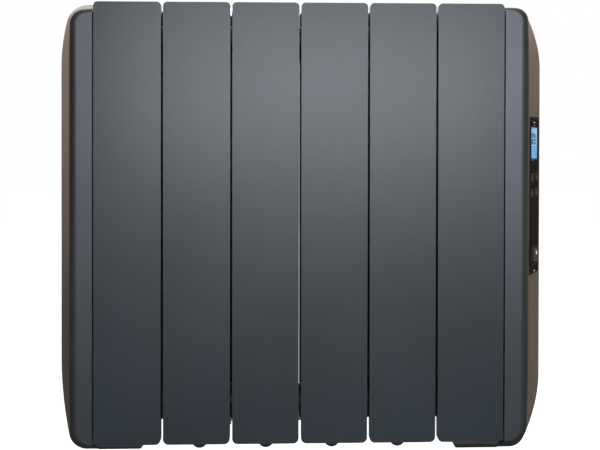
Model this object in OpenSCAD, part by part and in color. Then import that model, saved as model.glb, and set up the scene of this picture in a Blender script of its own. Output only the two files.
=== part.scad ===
// Slim six-section electric radiator, hung on a pressed-steel wall frame.
// X runs to the right, Y to the wall, Z up. The origin is under the middle of
// the whole body, level with the lowest face of the end caps.

/* [Heating elements] */
// Distance from one element's centre line to the next
element_pitch = 80; // [74:1:90]
// Open gap between neighbouring front plates
element_gap = 2.4; // [1.6:0.1:4]
// Cut length of the aluminium profile
element_h = 513; // [440:1:620]
// Depth of the profile, from front plate to rear plate
element_depth = 82; // [78:1:92]
// Thickness of the front and rear plates
plate_t = 2.2; // [1.6:0.1:3]
// Corner radius of the plates
plate_corner_r = 5; // [2:0.5:8]
// Depth of the lips that turn in at the plates' edges
lip_depth = 8; // [5:0.5:10]
// Thickness of those lips
lip_t = 1.6; // [1.2:0.1:2.2]
// Thickness of the central web and the side wings
web_t = 2; // [1.6:0.1:3]
// Thickness of the convection fins
fin_t = 1.3; // [1:0.1:1.8]

/* [Ducts and hubs] */
// Outer radius of the upright fluid duct
duct_r = 13; // [12:0.5:15]
// Bore radius of the upright fluid duct
duct_bore_r = 9.5; // [8:0.5:10]
// Outer radius of the cross hubs that join the elements
hub_r = 17; // [15.5:0.5:19]
// Bore radius of the cross hubs
hub_bore_r = 11; // [10.5:0.5:12]
// Distance from the profile's cut ends to the hubs' axis
hub_inset = 40; // [30:1:60]
// Thickness of the gasket between two hubs
gasket_t = 1; // [0.6:0.1:1.5]
// Wall of the threaded nipple inside two hubs
nipple_wall = 2; // [1.5:0.1:3]
// Length of the nipple
nipple_l = 26; // [20:1:34]
// Radius of the domed plug under each duct
dome_r = 10; // [8:0.5:11]
// How far the domed plug stands below the profile
dome_drop = 20; // [14:1:23]
// How far the outer two plugs stand below the profile, inside the caps' feet
outer_drop = 13; // [11:0.5:14]

/* [End caps] */
// Wall of the moulded caps
cap_wall = 2.5; // [2:0.1:3]
// Flat front width of the left cap, from the block's end
left_flat_w = 19; // [14:0.1:26]
// Flat front width of the right cap, from the block's end
right_flat_w = 19.8; // [14:0.1:26]
// Side flare of the left cap, from straight back
left_flare = 24.5; // [16:0.5:32]
// Side flare of the right cap, from straight back
right_flare = 32; // [24:1:34]
// Radius where the front turns into the flared side
cap_edge_r = 12; // [9:0.5:15]
// Depth at which the flared side turns straight
flare_depth = 51.7; // [49:0.1:58]
// Radius of that turn
shoulder_r = 16; // [8:1:20]
// Radius of the caps' rear edge
rear_edge_r = 4; // [3.5:0.5:8]
// Height of the caps above the plates' top edge
cap_rise = 3.5; // [0:0.5:10]
// Depth of the caps below the plates' bottom edge
cap_drop = 26; // [24:0.5:34]
// How far the flat front stops short of the plates' top edge
front_top_in = 9.5; // [4:0.5:16]
// Corner radius of the flat front
front_corner_r = 9; // [6:0.5:14]
// Corner radius at the caps' full size
full_corner_r = 20; // [14:0.5:22]
// How far the left cap's top edge climbs towards the block
left_crown = 1.5; // [0:0.1:3]
// How far the left side draws in towards its top
left_sweep = 8.7; // [4:0.1:12]
// How far the right side draws in towards its top
right_sweep = 16.7; // [4:0.1:18]
// Height over which the sides draw in towards the top
sweep_len = 65; // [40:1:80]
// How far the left side draws in towards its foot
left_low_sweep = 13; // [4:0.1:14]
// How far the right side draws in towards its foot
right_low_sweep = 18.2; // [4:0.1:20]
// Height over which the sides draw in towards the foot
low_sweep_len = 95; // [60:1:100]
// Depth at which the left cap's underside is at its lowest
left_low_d = 54; // [50:0.5:60]
// Depth at which the right cap's underside is at its lowest
right_low_d = 48; // [44:0.5:60]
// Radius of the lower corners at the flat front
low_front_r = 15; // [8:0.5:16]
// Radius of the lower corners at the caps' full size
low_full_r = 23; // [16:0.5:24]
// Reach of the caps' feet under the outer elements
foot_reach = 56.5; // [55:0.5:60]
// Slant of the feet's inner ends
foot_slant = 7; // [4:0.5:10]
// Gap between the feet and the profile above them
foot_gap = 1; // [0.5:0.1:2]

/* [Control panel] */
// Width of the black panel, along the flared side
panel_w = 43; // [40:0.5:46]
// Height of the black panel
panel_h = 188; // [186:1:200]
// Height of the panel's centre above the feet
panel_z = 313; // [300:1:330]
// How far the panel's face stands out of the cap
panel_proud = 0.5; // [0.2:0.1:1]
// Gap all round a piece in its cut-out
panel_fit = 0.25; // [0.15:0.05:0.4]
// Width of the display window
window_w = 29; // [26:0.5:31]
// Height of the display window
window_h = 39; // [34:0.5:42]
// Distance from the panel's top edge down to the window's centre
window_in = 32; // [30:0.5:38]
// Width of a key
key_w = 12; // [9:0.5:14]
// Height of a key
key_h = 9; // [7:0.5:12]
// Distance between the two columns of keys
key_pitch_x = 20; // [17:0.5:22]
// Distance between the two rows of keys
key_pitch_z = 18; // [15:0.5:20]
// Distance from the window's lower edge down to the keys' centre
keys_in = 30.5; // [26:0.5:34]
// Travel of a key
key_travel = 0.5; // [0.3:0.05:0.8]
// Width of the rocker switch's rim
switch_w = 30; // [29:0.5:33]
// Height of the rocker switch's rim
switch_h = 22; // [21:0.5:24]
// Distance from the panel's bottom edge up to the rocker's centre
switch_in = 22.5; // [22:0.5:29]
// Offset of the rocker from the panel's centre line, to the front
switch_shift = 4; // [0:0.5:5]
// Tilt of the rocker from level, each way
rocker_tilt = 11; // [8:0.5:11]

/* [Wall frame] */
// Distance from the elements' rear plates to the wall
wall_gap = 16; // [14:0.5:22]
// Thickness of the frame's steel
frame_t = 1.5; // [1.2:0.1:2]
// Width of the two upright straps
strap_w = 18; // [14:1:22]
// Distance between the upright straps' centre lines
strap_pitch = 106; // [104:1:112]
// Distance between the upper and lower wall screws
screw_pitch_z = 400; // [360:1:420]
// Radius of the wall screw holes
wall_hole_r = 2.75; // [2:0.25:3.5]

/* [Hidden] */

element_count = 6;
fit = 0.3;
thread_fit = 0.05;
overlap = 1;
round_fn = 96;
small_fn = 48;

// Widths and places that follow from the sizes above
plate_w = element_pitch - element_gap;
block_half = element_count * element_pitch / 2;
seam = element_gap / 2;
left_w = cap_width(left_flat_w, left_flare);
right_w = cap_width(right_flat_w, right_flare);
// Middle of the block, to a hundredth of a millimetre
block_x = round(50 * (left_w - right_w)) / 100;
front_y = -(element_depth + wall_gap) / 2;
plate_z = cap_drop;
top_z = plate_z + element_h;
duct_d = element_depth / 2;
hub_low_z = plate_z + hub_inset;
hub_high_z = top_z - hub_inset;
hub_half = element_pitch / 2 - gasket_t / 2;

// Width of a cap at its widest, out from the block's end
function cap_width(flat, flare) =
    flat + cap_edge_r * cos(flare)
    + (flare_depth - cap_edge_r * (1 - sin(flare))) * tan(flare);

// Centre of element n, counted from 1 at the left
function element_x(n) = block_x - block_half + (n - 0.5) * element_pitch;

// Moves into the block's frame: x from its centre, y from the front plates
module in_block() {
    translate([block_x, front_y, 0]) children();
}

// Heating elements: one extruded profile each, with cross hubs welded in
wing_end_in = 12;
wing_gap = 10;
mid_fin_gap = 14;
mid_fin_shift = -1;
curl_r = 9;
wing_end_x = plate_w / 2 - fin_t - wing_end_in;
mid_fin_x = (duct_r + wing_end_x) / 2 + mid_fin_shift;

module profile_bar(x1, y1, x2, y2) {
    translate([min(x1, x2), min(y1, y2)]) square([abs(x2 - x1), abs(y2 - y1)]);
}

// Convection fin that stands on a plate and curls outwards
module curled_fin() {
    translate([duct_r, plate_t]) {
        profile_bar(-fin_t / 2, -overlap / 2, fin_t / 2, curl_r);
        translate([curl_r, curl_r]) intersection() {
            difference() {
                circle(r = curl_r + fin_t / 2, $fn = small_fn);
                circle(r = curl_r - fin_t / 2, $fn = small_fn);
            }
            translate([-curl_r - fin_t, 0]) square([curl_r + fin_t, curl_r + fin_t]);
        }
    }
}

// A quarter of the profile: right half of the front
module profile_quarter() {
    profile_bar(0, 0, plate_w / 2, plate_t);
    profile_bar(plate_w / 2 - lip_t, 0, plate_w / 2, lip_depth);
    profile_bar(0, 0, web_t / 2, duct_d);
    profile_bar(0, duct_d - web_t / 2, wing_end_x + fin_t, duct_d);
    profile_bar(wing_end_x, lip_depth + wing_gap, wing_end_x + fin_t, duct_d);
    profile_bar(mid_fin_x, lip_depth + mid_fin_gap, mid_fin_x + fin_t, duct_d);
    curled_fin();
}

module element_profile() {
    for (side = [0, 1])
        for (face = [0, 1])
            translate([0, face * element_depth])
                mirror([side, 0]) mirror([0, face]) profile_quarter();
    translate([0, duct_d]) circle(r = duct_r, $fn = round_fn);
}

// Outline of a plate seen from the front, used to round the profile's ends
module plate_outline() {
    r = plate_corner_r;
    translate([-plate_w / 2, 0]) {
        translate([r, 0]) square([plate_w - 2 * r, element_h]);
        translate([0, r]) square([plate_w, element_h - 2 * r]);
        for (x = [r, plate_w - r])
            for (z = [r, element_h - r])
                translate([x, z]) circle(r = r, $fn = small_fn);
    }
}

module element(n) {
    translate([element_x(n), front_y, 0])
        color([0.29, 0.31, 0.33]) difference() {
            union() {
                intersection() {
                    translate([0, 0, plate_z]) linear_extrude(height = element_h)
                        element_profile();
                    translate([0, element_depth + overlap, plate_z]) rotate([90, 0, 0])
                        linear_extrude(height = element_depth + 2 * overlap) plate_outline();
                }
                for (z = [hub_low_z, hub_high_z])
                    translate([-hub_half, duct_d, z]) rotate([0, 90, 0])
                        cylinder(r = hub_r, h = 2 * hub_half, $fn = round_fn);
            }
            translate([0, duct_d, plate_z - overlap])
                cylinder(r = duct_bore_r, h = element_h + 2 * overlap, $fn = round_fn);
            for (z = [hub_low_z, hub_high_z])
                translate([-hub_half - overlap, duct_d, z]) rotate([0, 90, 0])
                    cylinder(r = hub_bore_r, h = 2 * (hub_half + overlap), $fn = round_fn);
        }
}

// Plugs that close the ducts' ends
plug_grip = 10;
plug_flange_t = 2;
plug_wall = 2;

function plug_drop(n) = n == 1 || n == element_count ? outer_drop : dome_drop;

module duct_bottom_plugs() {
    color([0.30, 0.31, 0.33]) for (n = [1 : element_count])
        translate([element_x(n), front_y + duct_d, plate_z])
            rotate_extrude($fn = round_fn) difference() {
                union() {
                    square([duct_bore_r - thread_fit, plug_grip]);
                    translate([0, -plug_flange_t]) square([duct_r, plug_flange_t]);
                    translate([0, dome_r - plug_drop(n)]) square([dome_r, plug_drop(n) - dome_r]);
                    intersection() {
                        translate([0, dome_r - plug_drop(n)]) circle(r = dome_r, $fn = round_fn);
                        translate([0, -plug_drop(n)]) square([dome_r, plug_drop(n)]);
                    }
                }
                translate([0, plug_wall]) square([duct_bore_r - plug_wall, plug_grip]);
            }
}

module duct_top_plugs() {
    color([0.55, 0.56, 0.57]) for (n = [1 : element_count])
        translate([element_x(n), front_y + duct_d, top_z])
            rotate_extrude($fn = round_fn) difference() {
                union() {
                    translate([0, -plug_grip]) square([duct_bore_r - thread_fit, plug_grip]);
                    square([duct_r, plug_flange_t]);
                }
                translate([0, -plug_grip - overlap])
                    square([duct_bore_r - plug_wall, plug_grip - plug_wall + overlap]);
            }
}

// Threaded nipples and their gaskets, one pair in each joint of two hubs
module at_hub_joints() {
    for (n = [1 : element_count - 1])
        for (z = [hub_low_z, hub_high_z])
            translate([element_x(n) + element_pitch / 2, front_y + duct_d, z])
                rotate([0, 90, 0]) children();
}

module ring(outer_r, inner_r, height) {
    difference() {
        cylinder(r = outer_r, h = height, $fn = round_fn);
        translate([0, 0, -overlap]) cylinder(r = inner_r, h = height + 2 * overlap, $fn = round_fn);
    }
}

nipple_r = hub_bore_r - thread_fit;
gasket_in = 1;

module hub_nipples() {
    color([0.72, 0.70, 0.62]) at_hub_joints()
        translate([0, 0, -nipple_l / 2])
            ring(nipple_r, nipple_r - nipple_wall, nipple_l);
}

module hub_gaskets() {
    color([0.12, 0.12, 0.13]) at_hub_joints()
        translate([0, 0, -gasket_t / 2]) ring(hub_r - gasket_in, hub_bore_r + fit, gasket_t);
}

// Fittings in the block's four outer hub mouths
head_flange_r = hub_r + 4;
head_flange_t = 3;
head_thread_l = 12;
head_hex_r = 13;
head_hex_h = 7;

// side is -1 at the block's left end and 1 at its right end
module at_block_end(side, z) {
    in_block() translate([side * (block_half - gasket_t / 2), duct_d, z])
        rotate([0, side * 90, 0]) children();
}

module at_blank_mouths() {
    at_block_end(-1, hub_low_z) children();
    at_block_end(-1, hub_high_z) children();
    at_block_end(1, hub_high_z) children();
}

module blank_plugs() {
    color([0.66, 0.64, 0.58]) at_blank_mouths() {
        translate([0, 0, gasket_t - head_thread_l])
            cylinder(r = nipple_r, h = head_thread_l, $fn = round_fn);
        translate([0, 0, gasket_t]) cylinder(r = head_flange_r, h = head_flange_t, $fn = round_fn);
        translate([0, 0, gasket_t + head_flange_t])
            cylinder(r = head_hex_r, h = head_hex_h, $fn = 6);
    }
}

module end_gaskets() {
    color([0.12, 0.12, 0.13]) {
        at_blank_mouths() ring(hub_r - gasket_in, hub_bore_r + fit, gasket_t);
        at_block_end(1, hub_low_z) ring(hub_r - gasket_in, hub_bore_r + fit, gasket_t);
    }
}

// Immersion heater: a hairpin of sheathed rod in the lower header
rod_r = 2.6;
hairpin_r = 3.9;
heater_reach = 400;
heater_hex_h = 4;
leg_top = gasket_t + head_flange_t + head_hex_h;

module heater_flange() {
    color([0.70, 0.67, 0.56]) at_block_end(1, hub_low_z) difference() {
        union() {
            translate([0, 0, gasket_t - head_thread_l])
                cylinder(r = nipple_r, h = head_thread_l, $fn = round_fn);
            translate([0, 0, gasket_t])
                cylinder(r = head_flange_r, h = head_flange_t, $fn = round_fn);
            translate([0, 0, gasket_t + head_flange_t])
                cylinder(r = head_hex_r, h = heater_hex_h, $fn = 6);
        }
        for (side = [-1, 1])
            translate([0, side * hairpin_r, gasket_t - head_thread_l - overlap])
                cylinder(r = rod_r, h = head_thread_l + head_flange_t + head_hex_h + 2 * overlap,
                         $fn = small_fn);
    }
}

module immersion_heater() {
    color([0.45, 0.42, 0.40]) at_block_end(1, hub_low_z) {
        for (side = [-1, 1])
            translate([0, side * hairpin_r, -heater_reach])
                cylinder(r = rod_r, h = heater_reach + leg_top, $fn = small_fn);
        translate([0, 0, -heater_reach]) rotate([0, 90, 0]) rotate([0, 0, -90])
            rotate_extrude(angle = 180, $fn = small_fn)
                translate([hairpin_r, 0]) circle(r = rod_r, $fn = small_fn);
    }
}

terminal_l = 12;
terminal_r = 1.2;
bead_wall = 0.6;
bead_l = 5;

module heater_terminals() {
    color([0.85, 0.83, 0.76]) at_block_end(1, hub_low_z)
        for (side = [-1, 1])
            translate([0, side * hairpin_r, leg_top]) {
                cylinder(r = rod_r + bead_wall, h = bead_l, $fn = small_fn);
                cylinder(r = terminal_r, h = terminal_l, $fn = small_fn);
            }
}

// Steel end chassis, clamped under the head fittings, that carry the caps
chassis_t = 1.5;
chassis_front = 12;
chassis_low_in = 6;
chassis_top_in = front_top_in + cap_wall + fit;
chassis_z = plate_z + chassis_low_in;
chassis_h = element_h - chassis_low_in - chassis_top_in;
chassis_rear = element_depth - cap_wall - fit;
chassis_flange_w = 17;
chassis_front_w = 8;
cap_screw_r = 2;
cap_screw_out = 10;
cap_screw_in = 90;
cap_screw_past = 4;
cap_screw_l = cap_wall + fit + chassis_t + cap_screw_past;
screw_head_r = 3.8;
screw_head_h = 1.4;
screw_crown_r = 3;
screw_crown_h = 0.9;

function cap_screw_heights() =
    [plate_z + cap_screw_in, plate_z + element_h / 2, top_z - cap_screw_in];

module chassis() {
    difference() {
        union() {
            translate([-seam, chassis_front, chassis_z])
                cube([chassis_t, chassis_rear - chassis_front, chassis_h]);
            translate([-seam, chassis_rear - chassis_t, chassis_z])
                cube([chassis_flange_w + seam, chassis_t, chassis_h]);
            translate([-seam, chassis_front, chassis_z])
                cube([chassis_front_w + seam, chassis_t, chassis_h]);
        }
        for (z = [hub_low_z, hub_high_z])
            translate([-seam - overlap, duct_d, z]) rotate([0, 90, 0])
                cylinder(r = hub_r + fit, h = chassis_t + 2 * overlap, $fn = round_fn);
        for (z = cap_screw_heights())
            translate([cap_screw_out, element_depth + overlap, z]) rotate([90, 0, 0])
                cylinder(r = cap_screw_r, h = cap_screw_l + 2 * overlap, $fn = small_fn);
    }
}

module at_right_end() {
    in_block() translate([block_half, 0, 0]) children();
}

module at_left_end() {
    in_block() translate([-block_half, 0, 0]) mirror([1, 0, 0]) children();
}

module left_chassis() {
    color([0.22, 0.23, 0.24]) at_left_end() chassis();
}

module right_chassis() {
    color([0.22, 0.23, 0.24]) at_right_end() chassis();
}

// Screws through the caps' rear walls into the chassis
module cap_screws() {
    module screw_row() {
        for (z = cap_screw_heights())
            translate([cap_screw_out, element_depth, z]) rotate([-90, 0, 0]) {
                translate([0, 0, -cap_screw_l])
                    cylinder(r = cap_screw_r - thread_fit, h = cap_screw_l, $fn = small_fn);
                cylinder(r = screw_head_r, h = screw_head_h, $fn = small_fn);
                translate([0, 0, screw_head_h])
                    cylinder(r = screw_crown_r, h = screw_crown_h, $fn = small_fn);
            }
    }
    color([0.35, 0.35, 0.36]) {
        at_left_end() screw_row();
        at_right_end() screw_row();
    }
}

// End caps: shells lofted from the flat front back to their full outline
arc_steps = 5;
turn_steps = 3;
corner_steps = 7;
sweep_steps = 5;
right_crown = 0;

// Points [out, depth] down a cap's side at its middle, taken in by inset
function side_path(flat, flare, inset) =
    let (w = cap_width(flat, flare), tangent = shoulder_r * tan(flare / 2))
    concat(
        [for (i = [0 : arc_steps])
            let (a = (90 - flare) * i / arc_steps, r = cap_edge_r - inset)
            [flat + r * sin(a), cap_edge_r - r * cos(a)]],
        [for (i = [0 : turn_steps])
            let (a = flare * (1 - i / turn_steps), r = shoulder_r - inset)
            [w - shoulder_r + r * cos(a), flare_depth + tangent - r * sin(a)]],
        [for (i = [0 : turn_steps])
            let (a = 90 * i / turn_steps, r = rear_edge_r - inset)
            [w - rear_edge_r + r * cos(a), element_depth - rear_edge_r + r * sin(a)]]
    );

// Half of a ring: over the corner and along the drawn-in side. The flat front isn't drawn in
function half_ring(out, grow, corners, sweep, length, inset, z_end, toward) =
    let (
        r = corners[0] + grow * (corners[1] - corners[0]) - inset,
        s = sweep * grow * grow,
        lean = atan(2 * s / length),
        arc_x = out - s - r * cos(lean),
        arc_z = z_end + toward * (inset + r),
        sweep_z = arc_z - toward * r * sin(lean)
    )
    concat(
        [for (i = [0 : corner_steps])
            let (a = 90 - (90 - lean) * i / corner_steps)
            [arc_x + r * cos(a), arc_z - toward * r * sin(a)]],
        [for (i = [1 : sweep_steps])
            let (t = i / sweep_steps)
            [out - s * pow(1 - t, 2), sweep_z + toward * t * length]]
    );

function reversed(list) = [for (i = [len(list) - 1 : -1 : 0]) list[i]];

// Height of the underside at a depth from the front
function underside(depth, low_d) = plate_z - cap_drop * min(1, depth / low_d);

// Closed ring of 3-D points at one step down the side; form is
// [flat, flare, crown, top sweep, low sweep, depth of the lowest underside]
function cap_ring(out, depth, grow, form, inset, mouth) =
    let (
        z_top = top_z - front_top_in + grow * (front_top_in + cap_rise),
        z_low = underside(depth, form[5]),
        upper = half_ring(out, grow, [front_corner_r, full_corner_r], form[3], sweep_len, inset, z_top, -1),
        lower = half_ring(out, grow, [low_front_r, low_full_r], form[4], low_sweep_len, inset, z_low, 1)
    )
    [for (p = concat([[mouth, z_top + form[2] - inset]], upper, reversed(lower), [[mouth, z_low + inset]]))
        [p[0], depth, p[1]]];

module loft(rings) {
    n = len(rings[0]);
    last = len(rings) - 1;
    polyhedron(
        points = [for (ring = rings) for (p = ring) p],
        faces = concat(
            [[for (i = [0 : n - 1]) i]],
            [for (k = [0 : last - 1]) for (i = [0 : n - 1])
                [k * n + i, (k + 1) * n + i, (k + 1) * n + (i + 1) % n]],
            [for (k = [0 : last - 1]) for (i = [0 : n - 1])
                [k * n + i, (k + 1) * n + (i + 1) % n, k * n + (i + 1) % n]],
            [[for (i = [n - 1 : -1 : 0]) last * n + i]]
        )
    );
}

// Solid of a cap's outside, or of its hollow when inset is the wall
module cap_solid(form, inset, mouth) {
    flat = form[0];
    full = side_path(flat, form[1], 0);
    path = side_path(flat, form[1], inset);
    w = cap_width(flat, form[1]);
    loft([for (i = [0 : len(path) - 1])
        cap_ring(path[i][0], path[i][1], (full[i][0] - flat) / (w - flat), form, inset, mouth)]);
}

// Foot under the outer element: a tray that carries on the cap's underside. It is open above and
// at its inner end, so that the cap slides on past the outer plug
foot_front = 24;
foot_rear_in = 2;
foot_rear = element_depth - foot_rear_in;
foot_h = cap_drop - foot_gap;
foot_up = 0.3;
foot_floor = 1.5;

// Prism that rises to the front with the underside, from a depth of 0 to the cap's full depth
module under_wedge(low_d, up) {
    translate([-2 * foot_reach, 0, 0]) rotate([90, 0, 90])
        linear_extrude(height = 4 * foot_reach)
            polygon([
                [-overlap, -overlap], [element_depth, -overlap], [element_depth, up], [low_d, up],
                [-overlap, underside(0, low_d) + up]
            ]);
}

module foot_solid(low_d) {
    difference() {
        translate([0, foot_rear, 0]) rotate([90, 0, 0])
            linear_extrude(height = foot_rear - foot_front)
                polygon([
                    [seam + cap_wall + overlap, 0], [foot_slant - foot_reach, 0], [-foot_reach, foot_h],
                    [seam + cap_wall + overlap, foot_h]
                ]);
        under_wedge(low_d, foot_up);
    }
}

module foot_hollow(low_d) {
    difference() {
        translate([-2 * foot_reach, foot_front + cap_wall, 0])
            cube([2 * foot_reach + seam + overlap, foot_rear - foot_front - 2 * cap_wall, foot_h + overlap]);
        under_wedge(low_d, foot_up + foot_floor);
    }
}

rib_t = 2;
rib_rear = flare_depth;
rib_in = 150;

module end_cap(form, rib_heights, rib_from) {
    difference() {
        union() {
            cap_solid(form, 0, seam);
            foot_solid(form[5]);
        }
        difference() {
            cap_solid(form, cap_wall, seam - overlap);
            for (z = rib_heights)
                translate([rib_from, 0, z]) cube([2 * right_w, rib_rear, rib_t]);
        }
        foot_hollow(form[5]);
        for (z = cap_screw_heights())
            translate([cap_screw_out, element_depth + overlap, z]) rotate([90, 0, 0])
                cylinder(r = cap_screw_r + fit / 2, h = cap_wall + 2 * overlap, $fn = small_fn);
    }
}

module left_end_cap() {
    color([0.27, 0.28, 0.30]) at_left_end()
        end_cap([left_flat_w, left_flare, left_crown, left_sweep, left_low_sweep, left_low_d],
                [top_z - rib_in, plate_z + rib_in], chassis_front_w + fit);
}

// Panel frame: x along the flared side to the rear, y inwards, z up
panel_mid_d = 25.8;
panel_rib_up = 8;
panel_rib_down = 10;
panel_rib_out = 30;
window_up = panel_h / 2 - window_in;
keys_up = window_up - window_h / 2 - keys_in;
switch_down = panel_h / 2 - switch_in;
panel_mid_out = right_flat_w + cap_edge_r * cos(right_flare)
    + (panel_mid_d - cap_edge_r * (1 - sin(right_flare))) * tan(right_flare);

module on_panel() {
    at_right_end() translate([panel_mid_out, panel_mid_d, panel_z])
        rotate([0, 0, 90 - right_flare]) children();
}

// Rounded block: width on x, depth from y1 to y2, height on z, centred
module slab(w, h, y1, y2, r) {
    translate([0, y2, 0]) rotate([90, 0, 0]) linear_extrude(height = y2 - y1) {
        square([w - 2 * r, h], center = true);
        square([w, h - 2 * r], center = true);
        for (x = [-1, 1])
            for (z = [-1, 1])
                translate([x * (w / 2 - r), z * (h / 2 - r)]) circle(r = r, $fn = small_fn);
    }
}

panel_r = 2.5;
bush_out = 28;
bush_up = 60;
bush_z = plate_z + bush_up;
bush_bore_r = 4;
bush_neck_r = 6.5;

module right_end_cap() {
    color([0.27, 0.28, 0.30]) difference() {
        at_right_end() end_cap([right_flat_w, right_flare, right_crown, right_sweep, right_low_sweep,
                                right_low_d],
            [panel_z + panel_h / 2 + panel_rib_up, panel_z - panel_h / 2 - panel_rib_down],
            panel_rib_out);
        on_panel() slab(panel_w + 2 * panel_fit, panel_h + 2 * panel_fit,
                        -overlap, cap_wall + overlap, panel_r);
        at_right_end() translate([bush_out, element_depth + overlap, bush_z]) rotate([90, 0, 0])
            cylinder(r = bush_neck_r + fit / 2, h = cap_wall + 2 * overlap, $fn = small_fn);
    }
}

// Control panel: glossy fascia with cut-outs for window, keys and switch
key_r = 1.5;
key_lift = 0.4;
key_flange = 1;
switch_lap = 1.2;
switch_body_w = switch_w - 2 * switch_lap;
switch_body_h = switch_h - 2 * switch_lap;
lens_w = 5;
lens_h = 1.6;
lens_gap = 6;
lens_up = window_up + window_h / 2 + lens_gap;

module at_keys() {
    for (x = [-1, 1])
        for (z = [-1, 1])
            translate([x * key_pitch_x / 2, 0, keys_up + z * key_pitch_z / 2]) children();
}

module panel_fascia() {
    color([0.03, 0.03, 0.035]) on_panel() difference() {
        slab(panel_w, panel_h, -panel_proud, cap_wall, panel_r);
        translate([0, 0, window_up])
            slab(window_w + 2 * panel_fit, window_h + 2 * panel_fit,
                 -panel_proud - overlap, cap_wall + overlap, 1);
        translate([0, 0, lens_up])
            slab(lens_w + 2 * panel_fit, lens_h + 2 * panel_fit,
                 -panel_proud - overlap, cap_wall + overlap, lens_h / 2 - 0.01);
        at_keys() slab(key_w + 2 * panel_fit, key_h + 2 * panel_fit,
                       -panel_proud - overlap, cap_wall + overlap, key_r + panel_fit);
        translate([-switch_shift, 0, -switch_down])
            slab(switch_body_w + 2 * panel_fit, switch_body_h + 2 * panel_fit,
                 -panel_proud - overlap, cap_wall + overlap, 1);
    }
}

window_sunk = 0.4;
lens_t = cap_wall + panel_proud - window_sunk;

module display_window() {
    color([0.35, 0.55, 0.75, 0.5]) on_panel() translate([0, 0, window_up])
        slab(window_w, window_h, cap_wall - lens_t, cap_wall, 0.9);
}

module indicator_lens() {
    color([0.85, 0.86, 0.84]) on_panel() translate([0, 0, lens_up])
        slab(lens_w, lens_h, -panel_proud, cap_wall, lens_h / 2 - 0.01);
}

// Housing behind the fascia: an open-backed box with a flange on the cap
housing_t = 2;
housing_flange_x = 1.2;
housing_flange_z = 4;
housing_depth = 20;
housing_back = cap_wall + housing_t + housing_depth;
board_gap = 7.5;
board_t = 1.6;
board_y = cap_wall + board_gap;
lcd_y = cap_wall + fit;
lcd_rim = 2;
lcd_seat = 0.2;
lcd_t = board_gap - fit - lcd_seat;

module control_housing() {
    color([0.12, 0.12, 0.13]) on_panel() difference() {
        union() {
            slab(panel_w + 2 * housing_flange_x, panel_h + 2 * housing_flange_z,
                 cap_wall + fit / 2, cap_wall + housing_t, panel_r);
            slab(panel_w, panel_h, cap_wall + fit / 2, housing_back, panel_r);
        }
        slab(panel_w - 2 * housing_t, panel_h - 2 * housing_t,
             cap_wall - overlap, housing_back + overlap, panel_r - 1);
    }
}

board_to_switch = 9.9;
board_w = panel_w - 2 * housing_t - 2 * fit;
board_top = panel_h / 2 - housing_t - fit;
board_low = board_to_switch + switch_body_h / 2 - switch_down;
board_h = board_top - board_low;
chip_w = 14;
chip_t = 2;
chip_down = 10;
driver_w = 24;
driver_h = 5;
driver_t = 1.2;
driver_up = 20;
header_w = 22;
header_h = 8;
header_t = 7;
header_in = 4;

// Part on the back of the control board
module on_board_back(w, h, t, up) {
    translate([0, 0, up]) slab(w, h, board_y + board_t, board_y + board_t + t, 0.5);
}

module control_board() {
    color([0.10, 0.32, 0.18]) on_panel() translate([0, 0, (board_top + board_low) / 2]) {
        slab(board_w, board_h, board_y, board_y + board_t, 1);
        on_board_back(chip_w, chip_w, chip_t, -chip_down);
        on_board_back(driver_w, driver_h, driver_t, driver_up);
        on_board_back(header_w, header_h, header_t, board_h / 2 - header_in - header_h / 2);
    }
}

module lcd_module() {
    color([0.45, 0.75, 0.95]) on_panel() translate([0, 0, window_up])
        slab(window_w + 2 * lcd_rim, window_h + 2 * lcd_rim, lcd_y, lcd_y + lcd_t, 0.8);
}

// Keys: caps with a hidden rim, on tact switches across a small gap
key_back = cap_wall + fit + key_flange;
tact_w = 6;
tact_stem = 1.6;
tact_stem_r = 1.75;
tact_gap = 0.05;
tact_top = key_back + key_travel + tact_gap;

module tact_switches() {
    color([0.2, 0.2, 0.2]) on_panel() at_keys() {
        slab(tact_w, tact_w, tact_top + tact_stem, board_y, 0.4);
        translate([0, tact_top + tact_stem, 0]) rotate([90, 0, 0])
            cylinder(r = tact_stem_r, h = tact_stem, $fn = small_fn);
    }
}

module key(column, row) {
    color([0.05, 0.05, 0.055]) on_panel()
        translate([column * key_pitch_x / 2, 0, keys_up + row * key_pitch_z / 2]) {
            slab(key_w, key_h, -panel_proud - key_lift, key_back, key_r);
            slab(key_w + 2 * key_flange, key_h + 2 * key_flange, cap_wall + fit, key_back,
                 key_r + key_flange / 2);
        }
}

module key_front_upper() { key(-1, 1); }

module key_rear_upper() { key(1, 1); }

module key_front_lower() { key(-1, -1); }

module key_rear_lower() { key(1, -1); }

// Mains rocker switch: it tilts about an upright pin in its housing
rim_t = 1.8;
switch_depth = 20;
rim_w = 1.8;
rim_h = 2.2;
well_w = switch_w - 2 * rim_w;
well_h = switch_h - 2 * rim_h;
well_depth = 10;
pivot_y = 4;
pivot_r = 1.4;
rocker_half = well_w / 2 - 1.4;
rocker_end = 6.5;
rocker_valley = 4.5;
rocker_edge = 1;
rocker_draft = 0.4;
rocker_foot = 4;
rocker_back = 2.6;
rocker_h = well_h - 2 * fit;

module at_switch() {
    on_panel() translate([-switch_shift, 0, -switch_down]) children();
}

module switch_housing() {
    color([0.06, 0.06, 0.06]) at_switch() difference() {
        union() {
            slab(switch_w, switch_h, -panel_proud - rim_t, -panel_proud, 2);
            slab(switch_body_w, switch_body_h, -panel_proud - overlap, switch_depth, 0.8);
        }
        slab(well_w, well_h, -panel_proud - rim_t - overlap, well_depth, 0.6);
        translate([0, pivot_y, -switch_body_h / 2 - overlap])
            cylinder(r = pivot_r + 0.06, h = switch_body_h + 2 * overlap, $fn = small_fn);
    }
}

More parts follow.
